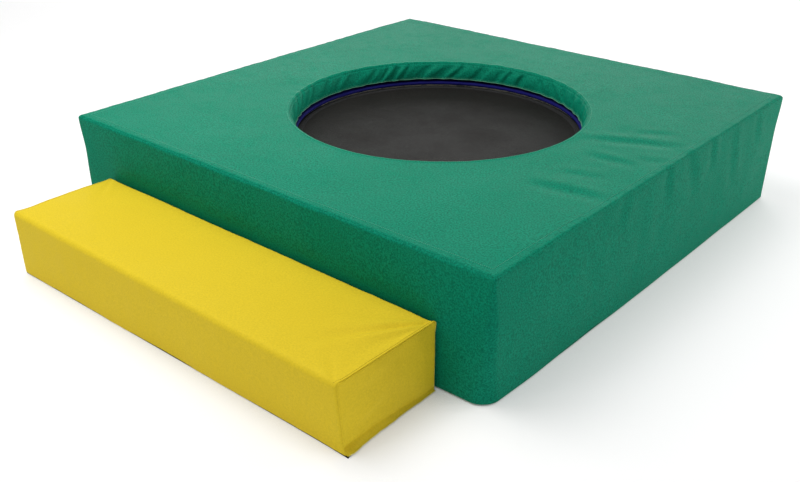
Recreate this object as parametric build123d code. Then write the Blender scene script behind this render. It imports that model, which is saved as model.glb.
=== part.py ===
from build123d import *
import os

# A soft-play trampoline: a round mini trampoline stands in the well of a square foam
# surround, with a foam step held against the surround's front face by hook-and-loop strips.
# Millimetres, +Z up, the step on the -Y side. The origin is the middle of the whole
# assembly's footprint, on the floor.

# ------------------------------------------------------------------ driving sizes
SURROUND_SIDE = 1800
SURROUND_HEIGHT = 410
OPENING_RADIUS = 530
STEP_LENGTH = 1450
STEP_DEPTH = 373
STEP_HEIGHT = 223
STEP_GAP = 6

COVER = 1.2                  # thickness of the coated cover fabric
SURROUND_CORNER = 28         # radius of the surround's upright corners
STEP_EDGE = 18               # radius of the step's long top edges
BACK_PANEL_HALF = 860        # half the width of the surround's zipped back panel

LIP_UNDERSIDE = 350          # height of the foam lip that reaches in over the pad
BORE_RADIUS = 665            # foam bore below the lip
FACING_FLANGE_RADIUS = 600   # where the opening's facing ends, under the lip
CASING_RADIUS = 3.5          # elastic casing at the facing's edge
ELASTIC_RADIUS = 2.2

RING_RADIUS = 625            # centre line of the trampoline's ring tube
RING_TUBE_RADIUS = 19
RING_WALL = 1.8
RING_Z = 310
BED_Z = 312                  # middle of the jumping mat and of the springs

MAT_RADIUS = 500
MAT_HALF_THICK = 1
WEBBING_INNER = 492
WEBBING_OUTER = 521
WEBBING_HALF_THICK = 2.6

SPRINGS = 36
SPRING_RADIUS = 7
SPRING_INNER = 548
SPRING_OUTER = 596
HOOK_WIRE_RADIUS = 1.3
HOOK_DROP = 8
HOOK_OVERLAP = 1             # how far each hook's wire starts inside the coil
RING_HOOK_ROOM = 1.6         # clearance behind the ring's wall, which curves inwards below
SPRING_HOLE_RADIUS = 3

V_RING_WIRE = 1.6            # wire radius of the rings that the springs pull on
V_RING_BASE = 516
V_RING_TIP = 540
V_RING_BASE_HALF = 15
V_RING_TIP_HALF = 4
V_RING_CLEARANCE = 0.5

LEGS = 6
LEG_RADIUS = 16
LEG_WALL = 1.5
LEG_BOTTOM = 8
LEG_TOP = 288
SOCKET_RADIUS = 18
SOCKET_BORE = 16.2
SOCKET_BOTTOM = 255
BOLT_Z = 272
BOLT_RADIUS = 4
BOLT_HOLE_RADIUS = 4.2
HEX_ACROSS_FLATS = 13
BOLT_HEAD = 5.3
BOLT_END = 2                 # thread that shows beyond the nut
NUT_HEIGHT = 6.5
FOOT_HEIGHT = 45
FOOT_BASE_RADIUS = 24
FOOT_TOP_RADIUS = 20

PAD_TOP = ((512, 329), (522, 335), (545, 343), (600, 345), (640, 344), (652, 338))
PAD_INNER = PAD_TOP[0][0]    # the pad's upper side is given as radius and height, inner edge first
PAD_OUTER = PAD_TOP[-1][0]
PAD_LOW = 320.5              # underside of the pad's inner part, beside the springs
PAD_STEP = (532, 552)        # radii between which the underside rises to the ring's top
PAD_FABRIC = 0.8
BINDING_THICK = 1
BINDING_REACH = 8
TIE_WIDTH = 20
TIE_THICK = 1.5
TIE_CLEARANCE = 0.3

ZIP_GAP = 1.2                # clear slot between the two rows of teeth
TOOTH_HEIGHT = 3
TOOTH_DEPTH = 2.4
TAPE_WIDTH = 11
SURROUND_ZIP_Z = 40
SURROUND_ZIP_LENGTH = 1400
STEP_ZIP_Z = 32
STEP_ZIP_LENGTH = 1200
SLIDER_LENGTH = 18
SLIDER_HEIGHT = 12
SLIDER_PLATE = 1.2
SLIDER_PLAY = 0.2
SLIDER_BRIDGE = 0.7
SLIDER_BAIL = 1.8            # how far the bail stands off the plate
SLIDER_BAIL_WIDTH = 3
SLIDER_END_ROOM = 16         # from the zip's end to the middle of the closed slider
GROOVE_DEPTH = 3.5           # foam cut away behind a zip
GROOVE_HEIGHT = 14

STRIP_LENGTH = 1300
STRIP_HEIGHT = 50
STRIP_HEIGHTS = (60, 150)    # lower edges of the two hook-and-loop strips

# ------------------------------------------------------------------ sizes that follow
SURROUND_Y = (STEP_DEPTH + STEP_GAP) / 2
SURROUND_FRONT = SURROUND_Y - SURROUND_SIDE / 2
SURROUND_BACK = SURROUND_Y + SURROUND_SIDE / 2
STEP_BACK = SURROUND_FRONT - STEP_GAP
STEP_FRONT = STEP_BACK - STEP_DEPTH
STEP_Y = (STEP_FRONT + STEP_BACK) / 2
RING_TOP = RING_Z + RING_TUBE_RADIUS
ZIP_SLOT_HALF = ZIP_GAP / 2 + TOOTH_HEIGHT + TAPE_WIDTH

ON_FLOOR = (Align.CENTER, Align.CENTER, Align.MIN)


# ------------------------------------------------------------------ helpers
def at_opening(shape):
    """Move a shape that was made about the Z axis to the trampoline's own axis."""
    return Pos(0, SURROUND_Y, 0) * shape


def drum(radius, low, high):
    """A solid cylinder about Z between two heights."""
    return Pos(0, 0, low) * Cylinder(radius, high - low, align=ON_FLOOR)


def slab(width, depth, corner, low, high):
    """A plate with rounded upright corners, centred on Z."""
    return Pos(0, 0, low) * extrude(RectangleRounded(width, depth, corner), high - low)


def block(x_range, y_range, z_range):
    """A plain box between three pairs of limits."""
    size = [high - low for low, high in (x_range, y_range, z_range)]
    middle = [(low + high) / 2 for low, high in (x_range, y_range, z_range)]
    return Pos(*middle) * Box(*size)


def turned(section):
    """A full turn about Z of a section drawn in the XZ plane."""
    return revolve(section, Axis.Z, 360)


def outline(*points):
    """A closed section in the XZ plane, from (radius, height) points."""
    return make_face(Polyline(*[(x, 0, z) for x, z in points], close=True))


def tube_ring(ring_radius, z, tube_radius):
    """A solid torus about Z."""
    return Pos(0, 0, z) * Torus(ring_radius, tube_radius)


def rod(start, end, radius):
    """A round bar from one point to another."""
    line = Vector(*end) - Vector(*start)
    return Plane(origin=start, z_dir=line) * Cylinder(radius, line.length, align=ON_FLOOR)


def ball(point, radius):
    return Pos(*point) * Sphere(radius)


def wire(points, radius):
    """Bars through a row of points, rounded where two bars meet."""
    bars = [rod(start, end, radius) for start, end in zip(points, points[1:])]
    corners = [ball(point, radius) for point in points[1:-1]]
    return bars[0].fuse(*bars[1:], *corners)


def around(shape, count, first=0):
    """Equal copies of a shape, evenly spaced about the trampoline's axis."""
    step = 360 / count
    turns = [first + step * index for index in range(count)]
    return [at_opening(Rot(0, 0, turn) * shape) for turn in turns]


def group(shapes):
    return Compound(children=list(shapes))


# ------------------------------------------------------------------ trampoline frame
def frame_ring():
    """The welded ring tube, with a hole for each spring in its inner wall."""
    ring = tube_ring(RING_RADIUS, RING_Z, RING_TUBE_RADIUS)
    ring -= tube_ring(RING_RADIUS, RING_Z, RING_TUBE_RADIUS - RING_WALL)
    inside = RING_RADIUS - 2 * RING_TUBE_RADIUS
    hole = rod((inside, 0, BED_Z), (RING_RADIUS, 0, BED_Z), SPRING_HOLE_RADIUS)
    return at_opening(ring) - around(hole, SPRINGS, spring_turn())


def spring_turn():
    """The springs stand half a pitch away from the legs."""
    return 180 / SPRINGS


def across_leg(low, high, radius):
    """A round bar along the leg bolt's axis."""
    return rod((RING_RADIUS, low, BOLT_Z), (RING_RADIUS, high, BOLT_Z), radius)


def leg_socket():
    """A short tube coped to the ring's underside, drilled across for its bolt."""
    socket = drum(SOCKET_RADIUS, SOCKET_BOTTOM, RING_Z) - drum(SOCKET_BORE, SOCKET_BOTTOM, RING_Z)
    socket = Pos(RING_RADIUS, 0, 0) * socket
    socket -= tube_ring(RING_RADIUS, RING_Z, RING_TUBE_RADIUS)
    return socket - across_leg(-SOCKET_RADIUS, SOCKET_RADIUS, BOLT_HOLE_RADIUS)


def leg():
    tube = drum(LEG_RADIUS, LEG_BOTTOM, LEG_TOP) - drum(LEG_RADIUS - LEG_WALL, LEG_BOTTOM, LEG_TOP)
    return Pos(RING_RADIUS, 0, 0) * tube - across_leg(-LEG_RADIUS, LEG_RADIUS, BOLT_HOLE_RADIUS)


def leg_foot():
    """A rubber ferrule, closed below, that the leg pushes into."""
    ferrule = Cone(FOOT_BASE_RADIUS, FOOT_TOP_RADIUS, FOOT_HEIGHT, align=ON_FLOOR)
    return Pos(RING_RADIUS, 0, 0) * (ferrule - drum(LEG_RADIUS, LEG_BOTTOM, FOOT_HEIGHT))


def hexagon(start, thickness):
    """A hexagonal head or nut across the leg, from one distance outwards."""
    flats = RegularPolygon(HEX_ACROSS_FLATS / 2, 6, major_radius=False)
    facing_along = Plane(origin=(RING_RADIUS, start, BOLT_Z), z_dir=(0, 1, 0))
    return extrude(facing_along * flats, thickness)


def leg_bolt():
    head = hexagon(-SOCKET_RADIUS - BOLT_HEAD, BOLT_HEAD)
    return head + across_leg(-SOCKET_RADIUS, SOCKET_RADIUS + NUT_HEIGHT + BOLT_END, BOLT_RADIUS)


def leg_nut():
    beyond = SOCKET_RADIUS + NUT_HEIGHT
    return hexagon(SOCKET_RADIUS, NUT_HEIGHT) - across_leg(SOCKET_RADIUS, beyond, BOLT_RADIUS)


# ------------------------------------------------------------------ springs and mat
def bed_spring():
    """The outside of one coil spring, with the hook at each end."""
    coil = rod((SPRING_INNER, 0, BED_Z), (SPRING_OUTER, 0, BED_Z), SPRING_RADIUS)
    above = BED_Z + V_RING_WIRE + HOOK_WIRE_RADIUS + V_RING_CLEARANCE
    catch = V_RING_TIP - V_RING_WIRE - HOOK_WIRE_RADIUS - V_RING_CLEARANCE
    to_mat = wire(
        [(SPRING_INNER + HOOK_OVERLAP, 0, above), (catch, 0, above), (catch, 0, above - HOOK_DROP)],
        HOOK_WIRE_RADIUS,
    )
    inside = RING_RADIUS - RING_TUBE_RADIUS + RING_WALL + HOOK_WIRE_RADIUS + RING_HOOK_ROOM
    to_ring = wire(
        [(SPRING_OUTER - HOOK_OVERLAP, 0, BED_Z), (inside, 0, BED_Z), (inside, 0, BED_Z - HOOK_DROP)],
        HOOK_WIRE_RADIUS,
    )
    return coil.fuse(to_mat, to_ring)


def v_ring(wire_radius):
    """One wire loop: wide where the webbing holds it, narrow where the spring hooks on."""
    corners = [
        (V_RING_BASE, -V_RING_BASE_HALF, BED_Z),
        (V_RING_BASE, V_RING_BASE_HALF, BED_Z),
        (V_RING_TIP, V_RING_TIP_HALF, BED_Z),
        (V_RING_TIP, -V_RING_TIP_HALF, BED_Z),
    ]
    loop = wire(corners + corners[:1], wire_radius)
    return loop.fuse(ball(corners[0], wire_radius))


def jump_mat():
    return at_opening(drum(MAT_RADIUS, BED_Z - MAT_HALF_THICK, BED_Z + MAT_HALF_THICK))


def mat_edge_webbing():
    """The webbing sewn round the mat's edge, with a pocket for each wire loop."""
    band = drum(WEBBING_OUTER, BED_Z - WEBBING_HALF_THICK, BED_Z + WEBBING_HALF_THICK)
    band -= drum(WEBBING_INNER, BED_Z - WEBBING_HALF_THICK, BED_Z + WEBBING_HALF_THICK)
    band -= drum(MAT_RADIUS, BED_Z - MAT_HALF_THICK, BED_Z + MAT_HALF_THICK)
    pocket = v_ring(V_RING_WIRE + V_RING_CLEARANCE)
    return at_opening(band) - around(pocket, SPRINGS, spring_turn())


# ------------------------------------------------------------------ spring pad
def pad_section():
    """The pad's outside: a flat wedge that thins towards the mat."""
    low_end, high_end = PAD_STEP
    underside = ((PAD_OUTER, RING_TOP), (high_end, RING_TOP), (low_end, PAD_LOW), (PAD_INNER, PAD_LOW))
    return outline(*PAD_TOP, *underside)


def pad_foam_section():
    return offset(pad_section(), -PAD_FABRIC, kind=Kind.INTERSECTION)


def pad_foam():
    return at_opening(turned(pad_foam_section()))


def pad_cover():
    return at_opening(turned(pad_section() - pad_foam_section()))


def pad_edge_binding():
    """The bias tape folded over the pad's inner edge."""
    wrapped = offset(pad_section(), BINDING_THICK, kind=Kind.INTERSECTION) - pad_section()
    near, far = PAD_INNER - BINDING_REACH, PAD_INNER + BINDING_REACH
    inner_edge = outline((near, RING_Z), (near, LIP_UNDERSIDE), (far, LIP_UNDERSIDE), (far, RING_Z))
    return at_opening(turned(wrapped & inner_edge))


def pad_tie():
    """An elastic strap that hangs from the pad and passes under the ring tube."""
    inner = RING_TUBE_RADIUS + TIE_CLEARANCE
    outer = inner + TIE_THICK
    round_ring = Circle(outer) - Circle(inner) - Pos(0, outer) * Rectangle(3 * outer, 2 * outer)
    upright = Rectangle(TIE_THICK, RING_TUBE_RADIUS, align=(Align.CENTER, Align.MIN))
    side = inner + TIE_THICK / 2
    loop = round_ring + Pos(-side, 0) * upright + Pos(side, 0) * upright
    across = Plane(origin=(RING_RADIUS, 0, RING_Z), x_dir=(1, 0, 0), z_dir=(0, -1, 0))
    return extrude(across * loop, TIE_WIDTH / 2, both=True)


# ------------------------------------------------------------------ foam surround
def zip_groove(back_face, zip_z, length):
    """The room behind a zip for its teeth and slider."""
    return block(
        (-length / 2, length / 2),
        (back_face - COVER - GROOVE_DEPTH, back_face - COVER),
        (zip_z - GROOVE_HEIGHT / 2, zip_z + GROOVE_HEIGHT / 2),
    )


def well(bore, low, high):
    """A square layer of foam with a round hole."""
    side = SURROUND_SIDE - 2 * COVER
    return slab(side, side, SURROUND_CORNER - COVER, low, high) - drum(bore, low, high)


def surround_base_foam():
    """The lower layer, which clears the trampoline's legs and ring."""
    layer = at_opening(well(BORE_RADIUS, COVER, LIP_UNDERSIDE))
    return layer - zip_groove(SURROUND_BACK, SURROUND_ZIP_Z, SURROUND_ZIP_LENGTH)


def surround_lip_foam():
    """The upper layer, which reaches in over the pad and takes the facing's casing."""
    layer = well(OPENING_RADIUS + COVER, LIP_UNDERSIDE, SURROUND_HEIGHT - COVER)
    return at_opening(layer - casing(CASING_RADIUS))


def surround_foam_quarters():
    """Each layer of foam is cut and glued as four corner blocks."""
    half = SURROUND_SIDE / 2
    layers = {"foam": surround_base_foam(), "lip_foam": surround_lip_foam()}
    quarters = {}
    for layer, foam in layers.items():
        for end, y_range in (("front", (-half, 0)), ("back", (0, half))):
            for side, x_range in (("left", (-half, 0)), ("right", (0, half))):
                corner = at_opening(block(x_range, y_range, (0, SURROUND_HEIGHT)))
                quarters[f"surround_{layer}_{end}_{side}"] = foam & corner
    return quarters


def surround_wall():
    """The upright skin all round the surround."""
    inner_side = SURROUND_SIDE - 2 * COVER
    skin = slab(SURROUND_SIDE, SURROUND_SIDE, SURROUND_CORNER, COVER, SURROUND_HEIGHT - COVER)
    skin -= slab(inner_side, inner_side, SURROUND_CORNER - COVER, COVER, SURROUND_HEIGHT - COVER)
    return at_opening(skin)


def back_panel_zone():
    return block(
        (-BACK_PANEL_HALF, BACK_PANEL_HALF),
        (SURROUND_BACK - 2 * COVER, SURROUND_BACK + COVER),
        (0, SURROUND_HEIGHT),
    )


def surround_cover_sides():
    """One band of fabric: the front, the two sides and both back corners."""
    return surround_wall() - back_panel_zone()


def zip_slot(back_face, zip_z, length):
    return block(
        (-length / 2, length / 2),
        (back_face - COVER, back_face),
        (zip_z - ZIP_SLOT_HALF, zip_z + ZIP_SLOT_HALF),
    )


def surround_cover_back():
    slot = zip_slot(SURROUND_BACK, SURROUND_ZIP_Z, SURROUND_ZIP_LENGTH)
    return (surround_wall() & back_panel_zone()) - slot


def surround_cover_top():
    low = SURROUND_HEIGHT - COVER
    panel = slab(SURROUND_SIDE, SURROUND_SIDE, SURROUND_CORNER, low, SURROUND_HEIGHT)
    return at_opening(panel - drum(OPENING_RADIUS, low, SURROUND_HEIGHT))


def casing(radius):
    """A round ring along the facing's lower edge."""
    return tube_ring(FACING_FLANGE_RADIUS + CASING_RADIUS, LIP_UNDERSIDE, radius)


def opening_facing():
    """The fabric that lines the opening, turned under the lip to an elasticated casing."""
    hem = LIP_UNDERSIDE - COVER
    top = SURROUND_HEIGHT - COVER
    wall = Plane.XZ * Pos(OPENING_RADIUS, hem) * Rectangle(COVER, top - hem, align=Align.MIN)
    reach = FACING_FLANGE_RADIUS + COVER - OPENING_RADIUS
    flange = Plane.XZ * Pos(OPENING_RADIUS, hem) * Rectangle(reach, COVER, align=Align.MIN)
    edge = Plane.XZ * Pos(FACING_FLANGE_RADIUS + CASING_RADIUS, LIP_UNDERSIDE)
    section = wall + flange + edge * Circle(CASING_RADIUS) - edge * Circle(ELASTIC_RADIUS)
    return at_opening(turned(section))


def facing_elastic():
    return at_opening(casing(ELASTIC_RADIUS))


def surround_base_panel():
    panel = slab(SURROUND_SIDE, SURROUND_SIDE, SURROUND_CORNER, 0, COVER)
    return at_opening(panel - drum(BORE_RADIUS, 0, COVER))


def fastening_strips(low_y, high_y):
    """The two rows of hook-and-loop tape between the step and the surround."""
    across = (-STRIP_LENGTH / 2, STRIP_LENGTH / 2)
    return group(
        block(across, (low_y, high_y), (low, low + STRIP_HEIGHT)) for low in STRIP_HEIGHTS
    )


# ------------------------------------------------------------------ zips
def zip_rows(back_face, zip_z, length, low, high, depth):
    """Two mirrored rows, above and below a zip's middle line."""
    middle = back_face - COVER / 2
    rows = []
    for side in (1, -1):
        heights = sorted((zip_z + side * low, zip_z + side * high))
        depths = (middle - depth / 2, middle + depth / 2)
        rows.append(block((-length / 2, length / 2), depths, heights))
    return rows


def zip_teeth(back_face, zip_z, length):
    low = ZIP_GAP / 2
    return group(zip_rows(back_face, zip_z, length, low, low + TOOTH_HEIGHT, TOOTH_DEPTH))


def zip_tapes(back_face, zip_z, length):
    low = ZIP_GAP / 2 + TOOTH_HEIGHT
    return group(zip_rows(back_face, zip_z, length, low, ZIP_SLOT_HALF, COVER))


def zip_slider(back_face, zip_z, length):
    """Two plates joined by a thin bridge that runs between the rows of teeth."""
    x = SLIDER_END_ROOM - length / 2
    middle = back_face - COVER / 2
    inner = TOOTH_DEPTH / 2 + SLIDER_PLAY
    across = (x - SLIDER_LENGTH / 2, x + SLIDER_LENGTH / 2)
    heights = (zip_z - SLIDER_HEIGHT / 2, zip_z + SLIDER_HEIGHT / 2)
    outside = block(across, (middle + inner, middle + inner + SLIDER_PLATE), heights)
    inside = block(across, (middle - inner - SLIDER_PLATE, middle - inner), heights)
    bridge = block(
        (x - SLIDER_LENGTH / 4, x + SLIDER_LENGTH / 4),
        (middle - inner, middle + inner),
        (zip_z - SLIDER_BRIDGE / 2, zip_z + SLIDER_BRIDGE / 2),
    )
    face = middle + inner + SLIDER_PLATE
    bail = block(
        (x - SLIDER_LENGTH / 3, x + SLIDER_LENGTH / 3),
        (face, face + SLIDER_BAIL),
        (zip_z - SLIDER_BAIL_WIDTH / 2, zip_z + SLIDER_BAIL_WIDTH / 2),
    )
    return outside.fuse(inside, bridge, bail)


SURROUND_ZIP = (SURROUND_BACK, SURROUND_ZIP_Z, SURROUND_ZIP_LENGTH)
STEP_ZIP = (STEP_BACK, STEP_ZIP_Z, STEP_ZIP_LENGTH)


# ------------------------------------------------------------------ foam step
def step_bar(inset, low, half_length):
    """The step's rounded cross-section, inset all round, between two ends."""
    depth = STEP_DEPTH - 2 * inset
    height = STEP_HEIGHT - inset - low
    bar = Pos(0, STEP_Y, low) * Box(2 * half_length, depth, height, align=ON_FLOOR)
    long_top_edges = bar.edges().filter_by(Axis.X).group_by(Axis.Z)[-1]
    return fillet(long_top_edges, STEP_EDGE - inset)


def step_foam():
    foam = step_bar(COVER, COVER, STEP_LENGTH / 2 - COVER)
    return foam - zip_groove(*STEP_ZIP)


def step_cover_wrap():
    """One length of fabric over the step's front, top and back."""
    half = STEP_LENGTH / 2 - COVER
    wrap = step_bar(0, COVER, half) - step_bar(COVER, COVER, half)
    return wrap - zip_slot(*STEP_ZIP)


def step_cover_end(side):
    """The panel sewn over one end of the step: side is -1 at the left, 1 at the right."""
    end = step_bar(0, COVER, COVER / 2)
    return Pos(side * (STEP_LENGTH - COVER) / 2, 0, 0) * end


def step_base_panel():
    return Pos(0, STEP_Y, 0) * Box(STEP_LENGTH, STEP_DEPTH, COVER, align=ON_FLOOR)


# ------------------------------------------------------------------ all the nodes
def all_nodes():
    nodes = {
        "frame_ring": frame_ring(),
        "leg_sockets": group(around(leg_socket(), LEGS)),
        "leg_bolts": group(around(leg_bolt(), LEGS)),
        "leg_nuts": group(around(leg_nut(), LEGS)),
        "bed_springs": group(around(bed_spring(), SPRINGS, spring_turn())),
        "pad_foam": pad_foam(),
        "pad_cover": pad_cover(),
        "pad_edge_binding": pad_edge_binding(),
        "pad_ties": group(around(pad_tie(), LEGS, 180 / LEGS)),
        "jump_mat": jump_mat(),
        "mat_edge_webbing": mat_edge_webbing(),
        "mat_rings": group(around(v_ring(V_RING_WIRE), SPRINGS, spring_turn())),
        "surround_cover_top": surround_cover_top(),
        "surround_cover_sides": surround_cover_sides(),
        "surround_cover_back": surround_cover_back(),
        "surround_base_panel": surround_base_panel(),
        "opening_facing": opening_facing(),
        "facing_elastic": facing_elastic(),
        "surround_loop_strips": fastening_strips(SURROUND_FRONT - STEP_GAP / 2, SURROUND_FRONT),
        "surround_zip_tapes": zip_tapes(*SURROUND_ZIP),
        "surround_zip_teeth": zip_teeth(*SURROUND_ZIP),
        "surround_zip_slider": zip_slider(*SURROUND_ZIP),
        "step_foam": step_foam(),
        "step_cover_wrap": step_cover_wrap(),
        "step_cover_end_left": step_cover_end(-1),
        "step_cover_end_right": step_cover_end(1),
        "step_base_panel": step_base_panel(),
        "step_hook_strips": fastening_strips(STEP_BACK, STEP_BACK + STEP_GAP / 2),
        "step_zip_tapes": zip_tapes(*STEP_ZIP),
        "step_zip_teeth": zip_teeth(*STEP_ZIP),
        "step_zip_slider": zip_slider(*STEP_ZIP),
    }
    nodes.update(surround_foam_quarters())
    for number, shape in enumerate(around(leg(), LEGS), start=1):
        nodes[f"leg_{number}"] = shape
    for number, shape in enumerate(around(leg_foot(), LEGS), start=1):
        nodes[f"leg_foot_{number}"] = shape
    return nodes


os.makedirs("parts", exist_ok=True)
for name, shape in all_nodes().items():
    export_step(shape, f"parts/{name}.step")
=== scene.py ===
import math

import bpy
import numpy as np
from mathutils import Matrix, Vector


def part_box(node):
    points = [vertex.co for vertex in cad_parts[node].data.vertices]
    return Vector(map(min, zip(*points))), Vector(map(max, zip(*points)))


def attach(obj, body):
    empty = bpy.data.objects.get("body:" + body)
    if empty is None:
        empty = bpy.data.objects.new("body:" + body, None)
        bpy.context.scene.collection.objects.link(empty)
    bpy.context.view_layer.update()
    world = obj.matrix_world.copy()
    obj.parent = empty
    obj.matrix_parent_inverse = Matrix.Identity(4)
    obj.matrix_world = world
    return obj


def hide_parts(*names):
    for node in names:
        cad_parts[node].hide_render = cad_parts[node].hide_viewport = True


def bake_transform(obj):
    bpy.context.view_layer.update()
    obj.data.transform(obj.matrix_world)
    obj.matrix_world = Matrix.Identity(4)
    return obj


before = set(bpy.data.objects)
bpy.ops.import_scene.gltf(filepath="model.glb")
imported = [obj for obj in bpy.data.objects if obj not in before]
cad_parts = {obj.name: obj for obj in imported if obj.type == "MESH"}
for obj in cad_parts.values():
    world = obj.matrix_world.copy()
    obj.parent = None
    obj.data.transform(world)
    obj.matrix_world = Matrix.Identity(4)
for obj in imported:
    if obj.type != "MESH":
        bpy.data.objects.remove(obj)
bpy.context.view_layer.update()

# Looks of a soft-play trampoline: a green foam surround, a yellow foam step, and a round
# trampoline in the well. Metres, +Z up, the step on the -Y side.

# ------------------------------------------------------------------ sizes from the frame
def limits(node):
    low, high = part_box(node)
    return np.array(low), np.array(high)


TOP_LOW, TOP_HIGH = limits("surround_cover_top")
CENTRE = (TOP_LOW + TOP_HIGH) / 2
CX, CY = CENTRE[0], CENTRE[1]
HALF = (TOP_HIGH[0] - TOP_LOW[0]) / 2
HEIGHT = TOP_HIGH[2]
BACK_HALF = limits("surround_cover_back")[1][0]
STEP_LOW, STEP_HIGH = limits("step_base_panel")
STEP_TOP = limits("step_cover_wrap")[1][2]
BED_Z = (limits("jump_mat")[0][2] + limits("jump_mat")[1][2]) / 2

# ------------------------------------------------------------------ sizes of the looks
OPENING = 0.530           # radius of the round opening
BORE = 0.665              # radius of the room for the trampoline, below the lip
LIP_BORE = 0.538          # radius of the hole in the lip's foam
LIP_Z = 0.350             # underside of the lip
CASING = 0.6035           # radius of the elastic's casing under the lip
FABRIC = 0.0012
CORNER = 0.028            # radius of the surround's upright corners
TOP_CORNER = 0.006        # the same corner at the top seam
FOOT_CORNERS = (0.022, 0.024, 0.030, 0.055)   # and at the floor, from the back right one leftwards
FOOT_PULL = 0.006         # how far the cover's foot is drawn in along the right side
NEAR_PULL = 0.012         # and how much more by the front right corner
EDGE_ROLL = 0.012         # radius of the surround's long top edges
FOOT_ROLL = 0.006
RIM_ROLL = 0.010
SIDE_COLUMNS = 150
CORNER_COLUMNS = 14
WALL_ROWS = 38
TOP_ROWS = 60
HEM_Z = 0.3465            # lower edge of the fabric inside the opening
HEM_EDGE = 0.0013         # half the thickness of its cut edge, drawn pale as a painted highlight
FACING_COLUMNS, FACING_ROWS = 900, 30
FACING_TILT = 0.013       # how far the facing leans in towards its hem
PLEAT_DEPTH = 0.0056      # depth of the facing's pleats below its rim
RIM_GATHER = 0.0024       # the most that the pleats push the opening's edge in and out
FOAM_INSET = 0.008        # the foam's top stands this far inside the cover's plain shape
FOAM_SIDE_INSET = 0.026   # and its sides this far
SEAM_DEPTH = 0.0007
THREAD_LIFT = 0.0003      # stitches stand this far off the cloth
RIM_STITCH = 0.010        # the row of stitches round the opening lies this far from it; its lighter thread is also a painted highlight line by the rim
STEP_EDGE = 0.016         # radius of the step's long top edges
STEP_SEAM_EDGE = 0.004    # radius where the end panels are sewn on
STEP_FRONT_EDGE = 0.012   # radius of the step's front upright corners
STEP_SEAM_DEPTH = 0.0020
STEP_FOOT = 0.004
STEP_BOTTOM = 0.0018
STEP_FOAM_INSET = 0.014
STEP_HEM_ROW = 3          # the end panels' row, counted from the lowest, where the hem's edge lies
STEP_COLUMNS = 300
STEP_LEAN = 0.020         # how far the front leans in at the right foot
STEP_WELT = 0.0011        # radius of the turned edge that shows along the end seams, drawn pale as a painted highlight
END_COLUMNS, END_ROWS = 72, 48
STRIP_WIDTH = 0.050
TEETH_REACH = 0.0036      # from a zip's middle line to its tape
ZIP_TAPE_THICK = 0.0012
MAT_RADIUS = 0.500
SPRING_COUNT = 36
SPRING_WIRE = 0.0013
COIL_RADIUS = 0.0057
COIL_TURNS = 15
COIL_START, COIL_END = 0.550, 0.594
MAT_HOOK, RING_HOOK = 0.5366, 0.6107


# ------------------------------------------------------------------ mesh helpers
def relief(points, pitch, seed, waves=9):
    """Smooth random relief, about -1 to 1, from sine waves in random directions."""
    random = np.random.default_rng(seed)
    total = np.zeros(points.shape[:-1])
    for _ in range(waves):
        direction = random.normal(size=3)
        direction /= np.linalg.norm(direction)
        length = pitch * random.uniform(0.7, 1.4)
        total += np.sin(points @ direction * 2 * math.pi / length + random.uniform(0, 2 * math.pi))
    return total / math.sqrt(waves)


def smooth(value, low, high):
    """0 below low, 1 above high, and an easy curve between them."""
    t = np.clip((value - low) / (high - low), 0, 1)
    return t * t * (3 - 2 * t)


def grid_normals(points, closed):
    """Unit normals of a grid of points: rows along axis 0, columns along axis 1."""
    down = np.gradient(points, axis=0)
    if closed:
        along = (np.roll(points, -1, axis=1) - np.roll(points, 1, axis=1)) / 2
    else:
        along = np.gradient(points, axis=1)
    normals = np.cross(down, along)
    return normals / np.maximum(np.linalg.norm(normals, axis=-1, keepdims=True), 1e-12)


def grid_faces(rows, columns, closed):
    index = np.arange(rows * columns).reshape(rows, columns)
    if closed:
        index = np.concatenate([index, index[:, :1]], axis=1)
    corners = (index[:-1, :-1], index[1:, :-1], index[1:, 1:], index[:-1, 1:])
    return np.stack(corners, axis=-1).reshape(-1, 4)


def facing_out(vertices, faces):
    """The faces of a closed mesh, turned round if they point inwards."""
    volume = 0.0
    for face in faces:
        corners = vertices[face]
        fan = np.cross(corners[1:-1], corners[2:])
        volume += float((fan @ corners[0]).sum())
    return faces if volume >= 0 else [face[::-1] for face in faces]


def add_mesh(name, vertices, faces, material):
    vertices = np.asarray(vertices, float)
    faces = [[int(v) for v in face] for face in faces]
    if len(faces) > 1:
        faces = facing_out(vertices, faces)
    mesh = bpy.data.meshes.new(name)
    mesh.from_pydata(vertices.tolist(), [], faces)
    mesh.polygons.foreach_set("use_smooth", [True] * len(mesh.polygons))
    mesh.materials.append(material)
    mesh.update()
    piece = bpy.data.objects.new(name, mesh)
    bpy.context.scene.collection.objects.link(piece)
    return piece


def belongs(piece, slot, body, *nodes):
    """Attach a piece to its body and hide the CAD nodes that it stands for; slot is not used."""
    if nodes:
        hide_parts(*nodes)
    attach(piece, body)
    return piece


def baked(piece):
    """Apply a piece's modifiers to its mesh."""
    graph = bpy.context.evaluated_depsgraph_get()
    mesh = bpy.data.meshes.new_from_object(piece.evaluated_get(graph))
    piece.modifiers.clear()
    piece.data = mesh
    return piece


def shell_faces(faces, count):
    """Outside faces, the inside copies behind them, and walls along every open edge."""
    inside = [[v + count for v in face[::-1]] for face in faces]
    edges = set()
    for face in faces:
        for here, there in zip(face, face[1:] + face[:1]):
            edges.add((here, there))
    walls = [[b, a, a + count, b + count] for a, b in edges if (b, a) not in edges]
    return faces + inside + walls


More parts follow.
